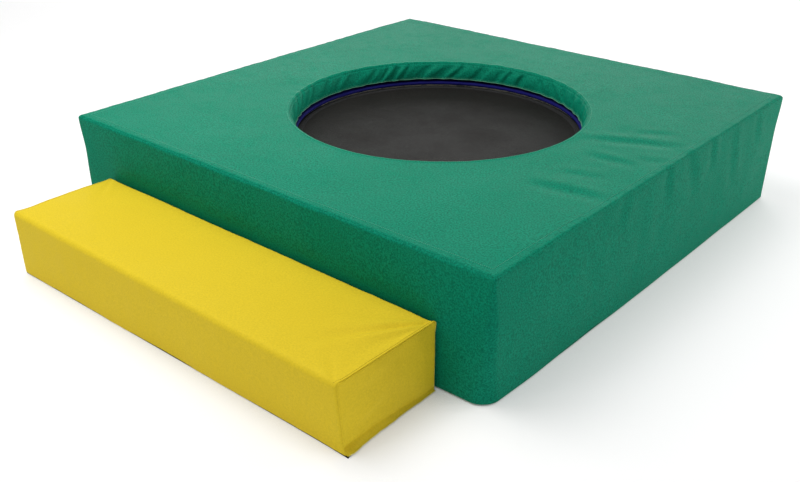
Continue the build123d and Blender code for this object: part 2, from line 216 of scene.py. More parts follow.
def fabric(
    name, points, material, closed=False, thickness=FABRIC, flip=False, normals=None, keep=None, cap=False
):
    """A closed shell of fabric whose outside is the grid of points.

    closed joins the last column to the first, keep leaves out faces, and cap closes the last row.
    """
    if normals is None:
        normals = grid_normals(points, closed) * (-1 if flip else 1)
    rows, columns = points.shape[:2]
    outside = grid_faces(rows, columns, closed)
    if keep is not None:
        outside = outside[keep.reshape(-1)]
    faces = outside.tolist()
    outer = points.reshape(-1, 3)
    inner = (points - normals * thickness).reshape(-1, 3)
    if cap:
        last = (rows - 1) * columns
        centre = rows * columns
        for column in range(columns):
            faces.append([last + column, centre, last + (column + 1) % columns])
        outer = np.concatenate([outer, points[-1].mean(axis=0, keepdims=True)])
        middle = normals[-1].mean(axis=0, keepdims=True)
        inner = np.concatenate([inner, outer[-1:] - middle / np.linalg.norm(middle) * thickness])
    vertices = np.concatenate([outer, inner])
    faces = shell_faces(faces, len(outer))
    used = np.unique(np.concatenate([np.array(face) for face in faces]))
    renumber = np.full(len(vertices), -1)
    renumber[used] = np.arange(len(used))
    faces = [[int(renumber[v]) for v in face] for face in faces]
    return add_mesh(name, vertices[used], faces, material)


def joined(parts):
    """Vertices and faces of several small meshes as one."""
    vertices, faces, start = [], [], 0
    for part_vertices, part_faces in parts:
        vertices.append(np.asarray(part_vertices, float))
        faces += [[v + start for v in face] for face in part_faces]
        start += len(part_vertices)
    return np.concatenate(vertices), faces


def carried_sides(forward):
    """A sideways direction at each point of a path, carried along it without twisting."""
    side = np.cross(forward[0], (1.0, 0, 0) if abs(forward[0][2]) > 0.9 else (0, 0, 1.0))
    sides = []
    for ahead in forward:
        side = side - (side @ ahead) * ahead
        side = side / math.sqrt(side @ side)
        sides.append(side)
    return np.array(sides)


def tube(path, radius, sides=10):
    """A round tube along a path, closed at both ends, as vertices and faces."""
    path = np.asarray(path, float)
    forward = np.gradient(path, axis=0)
    forward /= np.linalg.norm(forward, axis=1, keepdims=True)
    side = carried_sides(forward)
    up = np.cross(side, forward)
    turns = full_turn(sides)
    radii = np.broadcast_to(np.asarray(radius, float), (len(path),))[:, None, None]
    ring = side[:, None] * np.cos(turns)[None, :, None] + up[:, None] * np.sin(turns)[None, :, None]
    points = path[:, None] + radii * ring
    faces = grid_faces(len(path), sides, True).tolist()
    count = len(path) * sides
    caps = [list(range(sides)), list(range(count - sides, count))[::-1]]
    return points.reshape(-1, 3), faces + caps


def about_axis(radius, turn, z):
    """Points at a radius, a turn and a height about the trampoline's axis."""
    radius, turn, z = np.broadcast_arrays(radius, turn, z)
    return np.stack([CX + radius * np.cos(turn), CY + radius * np.sin(turn), z], axis=-1)


def edging(name, path, radius, material, slot, body):
    """A thin round edge along a path."""
    return belongs(add_mesh(name, *tube(path, radius, 8), material), slot, body)


def full_turn(count):
    return np.linspace(0, 2 * math.pi, count, endpoint=False)


def circle_path(radius, z, count):
    """Points on a level circle about the trampoline's axis."""
    return about_axis(radius, full_turn(count), z)


def resampled(path, pitch, closed=False):
    """Points along a path at an even spacing, and the directions there."""
    path = np.asarray(path, float)
    if closed:
        path = np.concatenate([path, path[:1]])
    lengths = np.concatenate([[0], np.cumsum(np.linalg.norm(np.diff(path, axis=0), axis=1))])
    count = max(2, int(round(lengths[-1] / pitch)))
    places = (np.arange(count) + 0.5) * lengths[-1] / count
    points = np.stack([np.interp(places, lengths, path[:, i]) for i in range(3)], axis=-1)
    ahead = np.stack([np.interp(places + pitch / 4, lengths, path[:, i]) for i in range(3)], axis=-1)
    directions = ahead - points
    norms = np.linalg.norm(directions, axis=1, keepdims=True)
    return points, directions / np.maximum(norms, 1e-9)


def stitches(name, path, material, slot, body, closed=False, pitch=0.006, length=0.0045, radius=0.0005):
    """A row of thread stitches lying along a path."""
    points, directions = resampled(path, pitch, closed)
    parts = []
    for point, direction in zip(points, directions):
        ends = np.array([-0.5, -0.3, 0.3, 0.5])[:, None] * length * direction + point
        parts.append(tube(ends, np.array([0.35, 1, 1, 0.35]) * radius, 5))
    return belongs(add_mesh(name, *joined(parts), material), slot, body)


# ------------------------------------------------------------------ materials
class Nodes:
    """A short way to build a material's node tree."""

    def __init__(self, name):
        self.material = bpy.data.materials.new(name)
        self.material.use_nodes = True
        self.tree = self.material.node_tree
        self.shader = self.tree.nodes["Principled BSDF"]

    def add(self, kind, inputs=None, **settings):
        node = self.tree.nodes.new(kind)
        for key, value in settings.items():
            setattr(node, key, value)
        for key, value in (inputs or {}).items():
            self.put(node, key, value)
        return node

    def put(self, node, key, value):
        if isinstance(value, bpy.types.NodeSocket):
            self.tree.links.new(value, node.inputs[key])
        else:
            node.inputs[key].default_value = value

    def set(self, **inputs):
        for key, value in inputs.items():
            self.put(self.shader, key.replace("_", " "), value)

    def noise(self, scale, detail=3.0, rough=0.5, distort=0.0, where=None):
        inputs = {"Scale": scale, "Detail": detail, "Roughness": rough, "Distortion": distort}
        node = self.add("ShaderNodeTexNoise", inputs)
        self.put(node, "Vector", where or self.place())
        return node.outputs["Fac"]

    def place(self):
        return self.add("ShaderNodeTexCoord").outputs["Object"]

    def ramp(self, value, low, high, out_low=0.0, out_high=1.0):
        inputs = {"Value": value, "From Min": low, "From Max": high, "To Min": out_low, "To Max": out_high}
        return self.add("ShaderNodeMapRange", inputs).outputs["Result"]

    def mix(self, factor, first, second):
        node = self.add("ShaderNodeMix", data_type="RGBA")
        self.put(node, 0, factor)
        self.put(node, 6, first)
        self.put(node, 7, second)
        return node.outputs[2]

    def bump(self, height, distance, strength=1.0, under=None):
        node = self.add("ShaderNodeBump", {"Height": height, "Distance": distance, "Strength": strength})
        if under is not None:
            self.put(node, "Normal", under)
        return node.outputs["Normal"]

    def wave(self, scale, direction, where=None, distort=0.0):
        node = self.add(
            "ShaderNodeTexWave",
            {"Scale": scale, "Distortion": distort},
            wave_type="BANDS",
            bands_direction=direction,
        )
        self.put(node, "Vector", where or self.place())
        return node.outputs["Fac"]

    def math(self, operation, first, second):
        node = self.add("ShaderNodeMath", operation=operation)
        self.put(node, 0, first)
        self.put(node, 1, second)
        return node.outputs[0]


def vinyl(name, colour, shade, roughness, grain_contrast, grain=0.00006):
    """Coated fabric: a fine grain over a faint weave, with soft colour patches and scuffs."""
    n = Nodes(name)
    patches = n.ramp(n.noise(3.5, 4.0), 0.35, 0.65)
    speckle = n.ramp(n.noise(200.0, 3.0, 0.7), 0.35, 0.65)
    colour_now = n.mix(patches, (*colour, 1), (*shade, 1))
    darker = tuple((1 - grain_contrast) * c for c in colour)
    colour_now = n.mix(speckle, colour_now, (*darker, 1))
    scuffs = n.ramp(n.noise(28.0, 6.0, 0.65), 0.45, 0.75)
    fine = n.noise(1500.0, 1.0)
    leather = n.noise(520.0, 2.0)
    weave = n.math("MULTIPLY", n.wave(330.0, "X"), n.wave(330.0, "Y"))
    height = n.math("ADD", n.math("MULTIPLY", fine, 0.35), leather)
    height = n.math("ADD", height, n.math("MULTIPLY", weave, 0.4))
    creases = n.bump(n.noise(22.0, 3.0), 0.0006, 0.5)
    n.set(
        Base_Color=colour_now,
        Roughness=n.ramp(scuffs, 0, 1, roughness, roughness + 0.12),
        Normal=n.bump(height, grain, 1.0, creases),
    )
    n.shader.inputs["Specular IOR Level"].default_value = 0.02
    return n.material


def cloth(name, colour, pitch=0.0016, roughness=0.85, depth=0.0003):
    """Plain woven cloth or webbing: over-and-under threads in two directions."""
    n = Nodes(name)
    scale = 1 / (pitch * 6.283) * 3.1416
    across = n.wave(scale, "X", distort=0.6)
    along = n.wave(scale, "Y", distort=0.6)
    weave = n.math("MULTIPLY", across, along)
    light = tuple(min(1, 1.5 * c + 0.002) for c in colour)
    tint = n.mix(n.math("MULTIPLY", n.noise(60.0), 0.6), (*colour, 1), (*light, 1))
    n.set(Base_Color=n.mix(weave, tint, (*light, 1)), Roughness=roughness, Normal=n.bump(weave, depth))
    n.shader.inputs["Specular IOR Level"].default_value = 0.1
    return n.material


def mesh_fabric(name):
    """The mat's black woven polypropylene: fine, slightly glossy crossed tapes."""
    n = Nodes(name)
    across = n.wave(420.0, "X")
    along = n.wave(420.0, "Y")
    over = n.math("GREATER_THAN", across, along)
    height = n.math("ADD", n.math("MULTIPLY", across, 0.5), n.math("MULTIPLY", along, 0.5))
    worn = n.ramp(n.noise(5.0, 5.0, 0.6), 0.4, 0.7)
    base = n.mix(n.math("MULTIPLY", worn, 0.5), (0.0080, 0.0078, 0.0070, 1), (0.0140, 0.0134, 0.0122, 1))
    colour = n.mix(n.math("MULTIPLY", over, 0.3), base, (0.0230, 0.0218, 0.0198, 1))
    speckle = n.ramp(n.noise(150.0, 2.0, 0.7), 0.35, 0.65)
    colour = n.mix(n.math("MULTIPLY", speckle, 0.40), colour, (0.035, 0.032, 0.029, 1))
    n.set(Base_Color=colour, Roughness=n.ramp(worn, 0, 1, 0.55, 0.7), Normal=n.bump(height, 0.0002))
    n.shader.inputs["Specular IOR Level"].default_value = 0.08
    return n.material


def metal(name, colour, roughness, metallic=1.0, texture=900.0, depth=0.00003):
    """Plated or painted steel: fine texture, uneven gloss and small dull marks."""
    n = Nodes(name)
    marks = n.ramp(n.noise(45.0, 6.0, 0.7), 0.42, 0.72)
    dull = tuple(0.72 * c for c in colour)
    n.set(
        Base_Color=n.mix(n.math("MULTIPLY", marks, 0.5), (*colour, 1), (*dull, 1)),
        Metallic=metallic,
        Roughness=n.ramp(marks, 0, 1, roughness, roughness + 0.2),
        Normal=n.bump(n.noise(texture, 2.0), depth),
    )
    return n.material


def soft_plain(name, colour, roughness, scale, depth):
    """Rubber, foam or plastic: one colour with a fine uneven surface."""
    n = Nodes(name)
    patches = n.ramp(n.noise(9.0, 4.0), 0.35, 0.65)
    light = tuple(min(1, 1.25 * c + 0.004) for c in colour)
    n.set(
        Base_Color=n.mix(patches, (*colour, 1), (*light, 1)),
        Roughness=n.ramp(n.noise(70.0), 0.3, 0.7, roughness - 0.08, roughness + 0.08),
        Normal=n.bump(n.noise(scale, 3.0), depth),
    )
    return n.material


GREEN = vinyl("green vinyl", (0.004, 0.262, 0.152), (0.007, 0.282, 0.167), 0.46, 0.48)
# The pale colour of the facing's hem edge is a painted highlight along the hem.
GREEN_EDGE_HIGHLIGHT = cloth("green hem edge, pale for a painted highlight", (0.10, 0.27, 0.18), 0.0012, 0.8)
# Thread lighter than the vinyl: its own colour, and in the rows by the rim and the hem also a painted
# highlight line.
GREEN_THREAD = cloth("green thread", (0.10, 0.36, 0.25), 0.0008, 0.7, 0.0001)
YELLOW = vinyl("yellow vinyl", (0.795, 0.590, 0.030), (0.810, 0.605, 0.033), 0.44, 0.11)
# The pale colour of the step's end edges is a painted highlight along them.
YELLOW_EDGE_HIGHLIGHT = cloth("yellow end edges, pale for a painted highlight", (0.86, 0.70, 0.16), 0.0012, 0.8)
YELLOW_THREAD = cloth("yellow thread", (0.34, 0.23, 0.010), 0.0008, 0.7, 0.0001)
NAVY = vinyl("navy vinyl", (0.006, 0.007, 0.050), (0.007, 0.008, 0.058), 0.55, 0.2)
BLUE_TAPE = cloth("blue binding tape", (0.006, 0.006, 0.10), 0.0012, 0.7)
BLUE_THREAD = cloth("blue thread", (0.008, 0.010, 0.16), 0.0008, 0.7, 0.0001)
MAT = mesh_fabric("black mat weave")
WEBBING = cloth("black webbing", (0.018, 0.018, 0.018), 0.0022, 0.8, 0.0005)
BLACK_THREAD = cloth("black thread", (0.06, 0.06, 0.06), 0.0008, 0.7, 0.0001)
BASE_CLOTH = cloth("black non-slip cloth", (0.016, 0.016, 0.016), 0.0030, 0.9, 0.0006)
ELASTIC = cloth("black elastic", (0.02, 0.02, 0.02), 0.0012, 0.85)
HOOKS = cloth("hook and loop", (0.03, 0.03, 0.03), 0.0010, 0.95, 0.0008)
ZIP_TAPE = cloth("zip tape", (0.025, 0.10, 0.065), 0.0010, 0.85)
FOAM = soft_plain("foam", (0.62, 0.60, 0.52), 0.95, 900.0, 0.0004)
RUBBER = soft_plain("black rubber", (0.018, 0.018, 0.018), 0.75, 600.0, 0.0001)
ZIP_PLASTIC = soft_plain("zip teeth plastic", (0.02, 0.09, 0.055), 0.4, 300.0, 0.00003)
STEEL = metal("grey powder coat", (0.20, 0.21, 0.22), 0.42, 0.0, 1400.0, 0.00005)
ZINC = metal("zinc plate", (0.55, 0.56, 0.58), 0.32)
SLIDER = metal("zip slider metal", (0.42, 0.43, 0.45), 0.35)

CAD_LOOKS = {
    "frame_ring": STEEL,
    "leg_sockets": STEEL,
    "leg_bolts": ZINC,
    "leg_nuts": ZINC,
    "mat_rings": ZINC,
    "surround_zip_slider": SLIDER,
    "step_zip_slider": SLIDER,
}


def carried_over(node, material):
    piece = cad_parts[node]
    piece.data.materials.clear()
    piece.data.materials.append(material)


def dress_cad_nodes():
    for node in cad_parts:
        if node in CAD_LOOKS:
            carried_over(node, CAD_LOOKS[node])
        elif node.startswith("leg_foot"):
            carried_over(node, RUBBER)
        elif node.startswith("leg_"):
            carried_over(node, STEEL)


# ------------------------------------------------------------------ the green cover
ZIP_SLOT = 0.0135         # half the height of the slot the zip is sewn into
ZIP_HALF = (limits("surround_zip_teeth")[1][0] - limits("surround_zip_teeth")[0][0]) / 2
ZIP_Z = (limits("surround_zip_teeth")[1][2] + limits("surround_zip_teeth")[0][2]) / 2
STEP_ZIP_HALF = (limits("step_zip_teeth")[1][0] - limits("step_zip_teeth")[0][0]) / 2
STEP_ZIP_Z = (limits("step_zip_teeth")[1][2] + limits("step_zip_teeth")[0][2]) / 2

# Folds in the right wall: where each starts and ends (Y, Z), its width and its depth.
WALL_FOLDS = (
    ((0.296, 0.425), (0.410, 0.250), 0.032, 0.0046),
    ((0.174, 0.425), (0.195, 0.290), 0.024, 0.0038),
    ((0.485, 0.425), (0.515, 0.290), 0.022, 0.0036),
    ((0.640, 0.410), (0.720, 0.150), 0.030, 0.0034),
    ((0.850, 0.395), (0.900, 0.260), 0.022, 0.0022),
    ((-0.072, 0.425), (-0.110, 0.320), 0.030, 0.0030),
    ((0.020, 0.380), (0.060, 0.120), 0.040, 0.0020),
    ((-0.300, 0.340), (-0.190, 0.110), 0.040, 0.0018),
)

# Pulls in the top between the opening and the right edge: start and end (X, Y), width and depth.
TOP_PULLS = (
    ((0.560, 0.230), (0.880, 0.380), 0.027, 0.0032),
    ((0.630, 0.118), (0.830, 0.127), 0.025, 0.0022),
    ((0.620, -0.184), (0.890, -0.142), 0.028, 0.0028),
    ((0.640, -0.064), (0.810, -0.006), 0.026, 0.0013),
    ((0.670, 0.386), (0.800, 0.462), 0.022, 0.0013),
    ((0.770, 0.170), (0.900, 0.230), 0.024, 0.0013),
)


def crease(points, start, end, width, depth, normal, from_start=False):
    """A groove along a line with a low ridge beside it; it fades at both ends or from the start."""
    start, end, normal = (np.array(v, float) for v in (start, end, normal))
    line = end - start
    length = np.linalg.norm(line)
    share = np.clip((points - start) @ line / length**2, 0, 1)
    away = points - (start + share[..., None] * line)
    beside = np.cross(normal, line / length)
    if from_start:
        fade = (1 - share) ** 0.7 * smooth(share, 0.0, 0.08)
        wide = width * (0.5 + share)
    else:
        fade = np.sin(share * math.pi) ** 0.8
        wide = np.full_like(share, width)
    groove = np.exp(-((np.linalg.norm(away, axis=-1) / wide) ** 2))
    shifted = away - 1.7 * wide[..., None] * beside
    ridge = np.exp(-((np.linalg.norm(shifted, axis=-1) / wide) ** 2))
    return depth * fade * (0.7 * ridge - groove)


def square_path(half, radii):
    """Points round a square with four rounded corners, seen from above, from the right side on."""
    points = []
    for turn in range(4):
        angle = turn * math.pi / 2
        out = np.array([math.cos(angle), math.sin(angle)])
        along = np.array([-out[1], out[0]])
        before, after = half - radii[turn - 1], half - radii[turn]
        for share in (np.arange(SIDE_COLUMNS) + 0.5) / SIDE_COLUMNS:
            points.append(out * half + along * (share * (before + after) - before))
        pivot = (out + along) * after
        for step in range(CORNER_COLUMNS):
            bend = angle + (step + 0.5) / CORNER_COLUMNS * math.pi / 2
            points.append(pivot + radii[turn] * np.array([math.cos(bend), math.sin(bend)]))
    return np.array(points)


def corner_radius(z, foot_radius):
    """An upright corner: sharp at the top seam, soft halfway, and its own radius at the floor."""
    below_top = 1 - smooth(z, HEIGHT - 0.15, HEIGHT - 0.01)
    by_foot = 1 - smooth(z, 0.01, 0.20)
    return TOP_CORNER + (CORNER - TOP_CORNER) * below_top + (foot_radius - CORNER) * by_foot


def ring_at(inset, z):
    radii = [max(0.004, corner_radius(z, foot) - inset / 2) for foot in FOOT_CORNERS]
    points = square_path(HALF - inset, radii)
    low = 1 - smooth(z, 0.0, 0.30)
    right = smooth(points[:, 0], 0.8 * HALF, HALF)
    front = smooth(-points[:, 1], 0.8 * HALF, HALF)
    near = np.exp(-np.hypot(points[:, 0] - HALF, points[:, 1] + HALF) / 0.35)
    points[:, 0] -= low * right * (FOOT_PULL + NEAR_PULL * near)
    points[:, 1] += low * front * NEAR_PULL * near
    return np.column_stack([points[:, 0] + CX, points[:, 1] + CY, np.full(len(points), z)])


def from_middle(points):
    """Places measured from the surround's middle: along X, along Y and up."""
    return points[..., 0] - CX, points[..., 1] - CY, points[..., 2]


def by_the_zip(points):
    """1 on the flat part of the back face round the zip, 0 away from it."""
    across, deep, up = from_middle(points)
    near = 1 - smooth(np.abs(up - ZIP_Z), 0.018, 0.060)
    inside = 1 - smooth(np.abs(across), ZIP_HALF + 0.01, ZIP_HALF + 0.06)
    return near * inside * (deep > 0.9 * HALF)


def by_the_strips(points):
    """1 on the flat part of the front face where the loop strips are sewn, 0 elsewhere."""
    across, deep, up = from_middle(points)
    low = 1 - smooth(up, STEP_TOP + 0.005, STEP_TOP + 0.060)
    inside = 1 - smooth(np.abs(across), SX_HALF - 0.06, SX_HALF)
    return low * inside * (deep < -0.9 * HALF)


def cover_relief(points, normals):
    """How far the green cover stands off its plain shape."""
    across, deep, up = from_middle(points)
    swell = 0.0009 * relief(points, 0.55, 11) + 0.0005 * relief(points, 0.20, 12)
    on_wall = 1 - np.abs(normals[..., 2])
    to_corner = HALF - np.minimum(np.abs(across), np.abs(deep))
    seam = np.exp(-(HEIGHT - up) / 0.020) * np.exp(-(HALF - np.maximum(abs(across), abs(deep))) / 0.020)
    puckers = 0.0007 * seam * relief(points * [1, 1, 0.2], 0.035, 13)
    stretched = points * [1, 1, 0.22]
    right = smooth(across, HALF - 0.06, HALF - 0.02) * smooth(deep, -0.55, 0.05)
    folds = 0.0010 * on_wall * right * relief(stretched, 0.13, 14) * smooth(up, 0.02, 0.14)
    front = 0.0008 * on_wall * (1 - right) * relief(stretched, 0.16, 15)
    crown = 0.0020 * on_wall * np.sin(np.clip(up / HEIGHT, 0, 1) * math.pi) * smooth(to_corner, 0, 0.3)
    total = swell + puckers + folds + front + crown
    for start, end, width, depth in WALL_FOLDS:
        total = total + crease(
            points, (CX + HALF, *start), (CX + HALF, *end), width, depth, (1, 0, 0)
        )
    upright_seam = np.exp(-((np.abs(across) - BACK_HALF) / 0.004) ** 2) * (deep > HALF - 0.05) * on_wall
    return (total - SEAM_DEPTH * upright_seam) * (1 - by_the_zip(points)) * (1 - by_the_strips(points))


def pleats_at(turn):
    """Unevenly spaced pleats round the opening: -1 in their valleys and 1 on their ridges."""
    uneven = turn + 0.035 * np.sin(7 * turn + 1) + 0.022 * np.sin(13 * turn + 4)
    waves = np.sin(49 * uneven) + 0.6 * np.sin(31 * uneven + 2) + 0.45 * np.sin(83 * uneven + 5)
    return np.tanh(waves)


def rim_gather(turn):
    """How far the pleats push the opening's edge in and out: little at the front, more at the back."""
    return RIM_GATHER * (0.2 + 0.8 * smooth(np.cos(turn - 2.3), -0.2, 0.4))


def top_relief(points):
    """Pulls across the top, and the puckered, slightly raised edge of the opening."""
    total = np.zeros(points.shape[:-1])
    for start, end, width, depth in TOP_PULLS:
        total += crease(points, (*start, HEIGHT), (*end, HEIGHT), width, depth, (0, 0, 1))
    across, deep = points[..., 0] - CX, points[..., 1] - CY
    from_rim = np.hypot(across, deep) - OPENING
    turn = np.arctan2(deep, across)
    total += rim_gather(turn) * np.exp(-from_rim / 0.014) * pleats_at(turn)
    return total + 0.0012 * np.exp(-(((from_rim - 0.007) / 0.005) ** 2))


def displaced(points, extra=None):
    normals = grid_normals(points, True)
    amount = cover_relief(points, normals)
    if extra is not None:
        amount = amount + extra(points)
    return points + normals * amount[..., None]


def wall_grid():
    """The upright skin, from the seam on the top edge down to the hem."""
    rows = []
    for angle in np.linspace(math.pi / 4, math.pi / 2, 6):
        inset = EDGE_ROLL * (1 - math.sin(angle))
        rows.append(ring_at(inset, HEIGHT - EDGE_ROLL * (1 - math.cos(angle))))
    start, slot_top, slot_low = HEIGHT - EDGE_ROLL, ZIP_Z + ZIP_SLOT, ZIP_Z - ZIP_SLOT
    heights = [*np.linspace(start, slot_top, WALL_ROWS)[1:], slot_low, (slot_low + FOOT_ROLL) / 2, FOOT_ROLL]
    for z in heights:
        rows.append(ring_at(0, z))
    for angle in np.linspace(0, math.pi / 2, 5)[1:]:
        inset = FOOT_ROLL * (1 - math.cos(angle))
        rows.append(ring_at(inset, 0.0018 + FOOT_ROLL * (1 - math.sin(angle))))
    return np.array(rows)


def top_grid():
    """The top skin, from the rim of the opening out to the seam on the outer edge."""
    rows = []
    for angle in np.linspace(math.pi / 4, 0, 6):
        inset = EDGE_ROLL * (1 - math.sin(angle))
        rows.append(ring_at(inset, HEIGHT - EDGE_ROLL * (1 - math.cos(angle))))
    outer = rows[-1]
    turn = np.arctan2(outer[:, 1] - CY, outer[:, 0] - CX)
    around = np.column_stack([np.cos(turn), np.sin(turn)])

    def circle(radius, z):
        xy = around * radius + [CX, CY]
        return np.column_stack([xy, np.full(len(xy), z)])

    inner = circle(OPENING + RIM_ROLL, HEIGHT)
    for share in np.linspace(0, 1, TOP_ROWS)[1:]:
        eased = 1 - (1 - share) ** 1.25
        rows.append(outer + (inner - outer) * eased)
    for angle in np.linspace(0, math.pi / 2, 6)[1:]:
        inset = RIM_ROLL * (1 - math.sin(angle))
        rows.append(circle(OPENING + inset, HEIGHT - RIM_ROLL * (1 - math.cos(angle))))
    return np.array(rows[::-1])


def panels_of_wall():
    """Column numbers of the back panel and of the band that goes round the rest."""
    xy = wall_grid()[10]
    on_back = (np.abs(xy[:, 0] - CX) <= BACK_HALF) & (xy[:, 1] > CY + 0.9 * HALF)
    columns = np.arange(len(xy))
    back = columns[on_back]
    band = np.roll(columns, -back[-1])[: len(columns) - len(back) + 2]
    return band, back


def green_stitches(whole, normals, seam_row, back):
    """Rows of stitches along the top edge, the opening, the foot and beside the back panel."""
    # The rim row in the lighter thread also stands in for the highlight along the rim: a painted highlight.
    rim = circle_path(OPENING + RIM_STITCH, HEIGHT, 720)
    rim[:, 2] += cover_relief(rim, np.array([[0, 0, 1.0]] * 720)) + top_relief(rim) + THREAD_LIFT
    rows = {
        "edge": (whole[seam_row - 7] + normals[seam_row - 7] * THREAD_LIFT, True),
        "rim": (rim, True),
        "foot": (whole[-5] + normals[-5] * THREAD_LIFT, True),
    }
    for side, column in (("right", back[0]), ("left", back[-1])):
        for shift in (-1, 1):
            path = whole[seam_row + 5 : -4, column] + normals[seam_row + 5 : -4, column] * 2 * THREAD_LIFT
            path = path + np.array([shift * 0.007, 0, 0])
            rows[f"back_{side}_{'in' if shift == 1 else 'out'}"] = (path, False)
    for name, (path, closed) in rows.items():
        stitches(f"surround_stitches_{name}", path, GREEN_THREAD, "green_vinyl", "surround", closed)


def green_cover():
    top = displaced(top_grid(), top_relief)
    walls = displaced(wall_grid())
    whole = np.concatenate([top[:-1], (top[-1:] + walls[:1]) / 2, walls[1:]])
    normals = grid_normals(whole, True)
    seam_row = len(top) - 1
    for row, share in ((-2, 0.2), (-1, 0.6), (0, 1.0), (1, 0.6), (2, 0.2)):
        whole[seam_row + row] -= normals[seam_row + row] * SEAM_DEPTH * share
    band, back = panels_of_wall()
    top_skin, top_normals = whole[: seam_row + 1], normals[: seam_row + 1]
    wall_skin, wall_normals = whole[seam_row:], normals[seam_row:]
    slot_row = 6 + WALL_ROWS - 2
    middle = (wall_skin[slot_row, :, 0] + np.roll(wall_skin[slot_row, :, 0], -1)) / 2
    open_slot = np.zeros((len(wall_skin) - 1, len(back) - 1), bool)
    open_slot[slot_row] = (np.abs(middle - CX) < ZIP_HALF)[back[:-1]]
    pieces = [
        ("surround_cover_top", top_skin, top_normals, None, True),
        ("surround_cover_sides", wall_skin[:, band], wall_normals[:, band], None, False),
        ("surround_cover_back", wall_skin[:, back], wall_normals[:, back], ~open_slot, False),
    ]
    for node, skin, skin_normals, keep, closed in pieces:
        piece = fabric(node + "_panel", skin, GREEN, closed=closed, normals=skin_normals, keep=keep)
        belongs(piece, "green_vinyl", "surround", node)
    green_stitches(whole, normals, seam_row, back)
    return whole[-1]


def base_panel(name, node, body, outline, hole=None):
    """The black cloth underneath, sewn to the cover's lowest row."""
    middle = np.array([outline[:, 0].mean(), outline[:, 1].mean()])
    spokes = outline[:, :2] - middle
    lengths = np.linalg.norm(spokes, axis=1, keepdims=True)
    ends = middle + spokes * ((hole / lengths) if hole else 0.02)
    rows = []
    for share in np.linspace(0, 1, 26):
        xy = outline[:, :2] + (ends - outline[:, :2]) * share
        rows.append(np.column_stack([xy, np.full(len(xy), 0.0004)]))
    points = np.array(rows)
    ripple = relief(points, 0.06, 43)
    points[..., 2] += 0.0002 * (1 + ripple) * (ripple > -1)
    piece = fabric(name, points, BASE_CLOTH, closed=True, cap=hole is None)
    belongs(piece, "black_nonslip", body, node)
    return piece


# ------------------------------------------------------------------ the gathered facing
def pleat_lean(turn):
    """Pleats lean over round the left and the back of the opening and stand upright at the right."""
    leaning = smooth(np.cos(turn - 3.0), -0.1, 0.5)
    return 0.105 * leaning - 0.030 * (1 - leaning)


def facing_grid():
    """The facing's skin: down from the rim, round the hem, out under the lip and round the casing."""
    columns, rows = FACING_COLUMNS, FACING_ROWS
    turn = full_turn(columns)
    top_z = HEIGHT - RIM_ROLL
    out = np.column_stack([np.cos(turn), np.sin(turn), np.zeros(columns)])
    rim = circle_path(OPENING, top_z, columns)
    sway = cover_relief(rim, -out)
    waves = np.sin(5 * turn + 1) + np.sin(11 * turn + 4) + 0.8 * np.sin(17 * turn)
    loose = 0.70 + 0.30 * np.tanh(1.2 * waves)
    grid = []
    for share in np.linspace(0, 1, rows):
        slant = turn - pleat_lean(turn) * share + 0.006 * np.sin(9 * turn + 4 * share)
        swing = smooth(share, 0.0, 0.3) * math.sin((0.1 + 0.8 * share) * math.pi) ** 0.7
        depth = rim_gather(turn) + PLEAT_DEPTH * loose * swing
        tuck = 0.0008 - 0.0024 * smooth(share, 0.0, 0.08)
        belly = 0.004 * math.sin(share * math.pi)
        radius = OPENING + tuck - sway * (1 - share) - FACING_TILT * share - belly
        radius = radius - depth * pleats_at(slant) * (1 - 0.5 * share)
        z = top_z + 0.003 - share * (top_z + 0.003 - HEM_Z) + 0.0006 * share * np.sin(47 * turn + 1)
        grid.append(about_axis(radius, turn, z))
    hem = grid[-1]
    roll = 0.0020
    for bend in np.linspace(0, math.pi, 8)[1:]:
        bulge = -0.0022 * math.sin(bend)
        grid.append(hem + out * (roll * (1 - math.cos(bend)) + bulge) - [0, 0, roll * math.sin(bend)])
    start = np.hypot(grid[-1][:, 0] - CX, grid[-1][:, 1] - CY)
    flange_end, flange_z = CASING - 0.0040, 0.3488
    for share in (0.15, 0.35, 0.6, 0.8, 1.0):
        radius = start + (flange_end - start) * share
        z = grid[-1][:, 2] * 0 + flange_z - (flange_z - HEM_Z) * (1 - min(1, share * 3))
        grid.append(about_axis(radius, turn, z))
    for bend in np.linspace(-0.75 * math.pi, 0.6 * math.pi, 12):
        radius = CASING + 0.0032 * math.cos(bend)
        z = np.full(columns, LIP_Z + 0.0032 * math.sin(bend))
        grid.append(about_axis(radius, turn, z))
    return np.array(grid), out


def facing():
    """The fabric inside the opening: gathered on to elastic, with slanting pleats."""
    points, out = facing_grid()
    piece = fabric("opening_facing_gathered", points, GREEN, closed=True, thickness=0.0009, flip=True)
    belongs(piece, "green_vinyl", "surround", "opening_facing")
    # The hem's edge is a thin tube in a pale green: a painted highlight along the hem.
    hem_highlight_edge = points[FACING_ROWS + 1] - out * 0.0006
    edging("opening_facing_hem_highlight", hem_highlight_edge, HEM_EDGE, GREEN_EDGE_HIGHLIGHT, "green_vinyl", "surround")
    # The hem's row of lighter thread also paints a highlight line along the hem.
    hem_row = points[FACING_ROWS - 3] - out * 0.0004
    name = "opening_facing_hem_stitches"
    stitches(name, hem_row, GREEN_THREAD, "green_vinyl", "surround", True, radius=0.0004)
    turns = full_turn(16)
    section = [(CASING + 0.0018 * math.cos(a), LIP_Z + 0.0014 * math.sin(a)) for a in turns]
    elastic = ring_piece("facing_elastic_cord", section, 540, ELASTIC, 0.0002, 0.02, 32)
    belongs(elastic, "black_elastic", "surround", "facing_elastic")


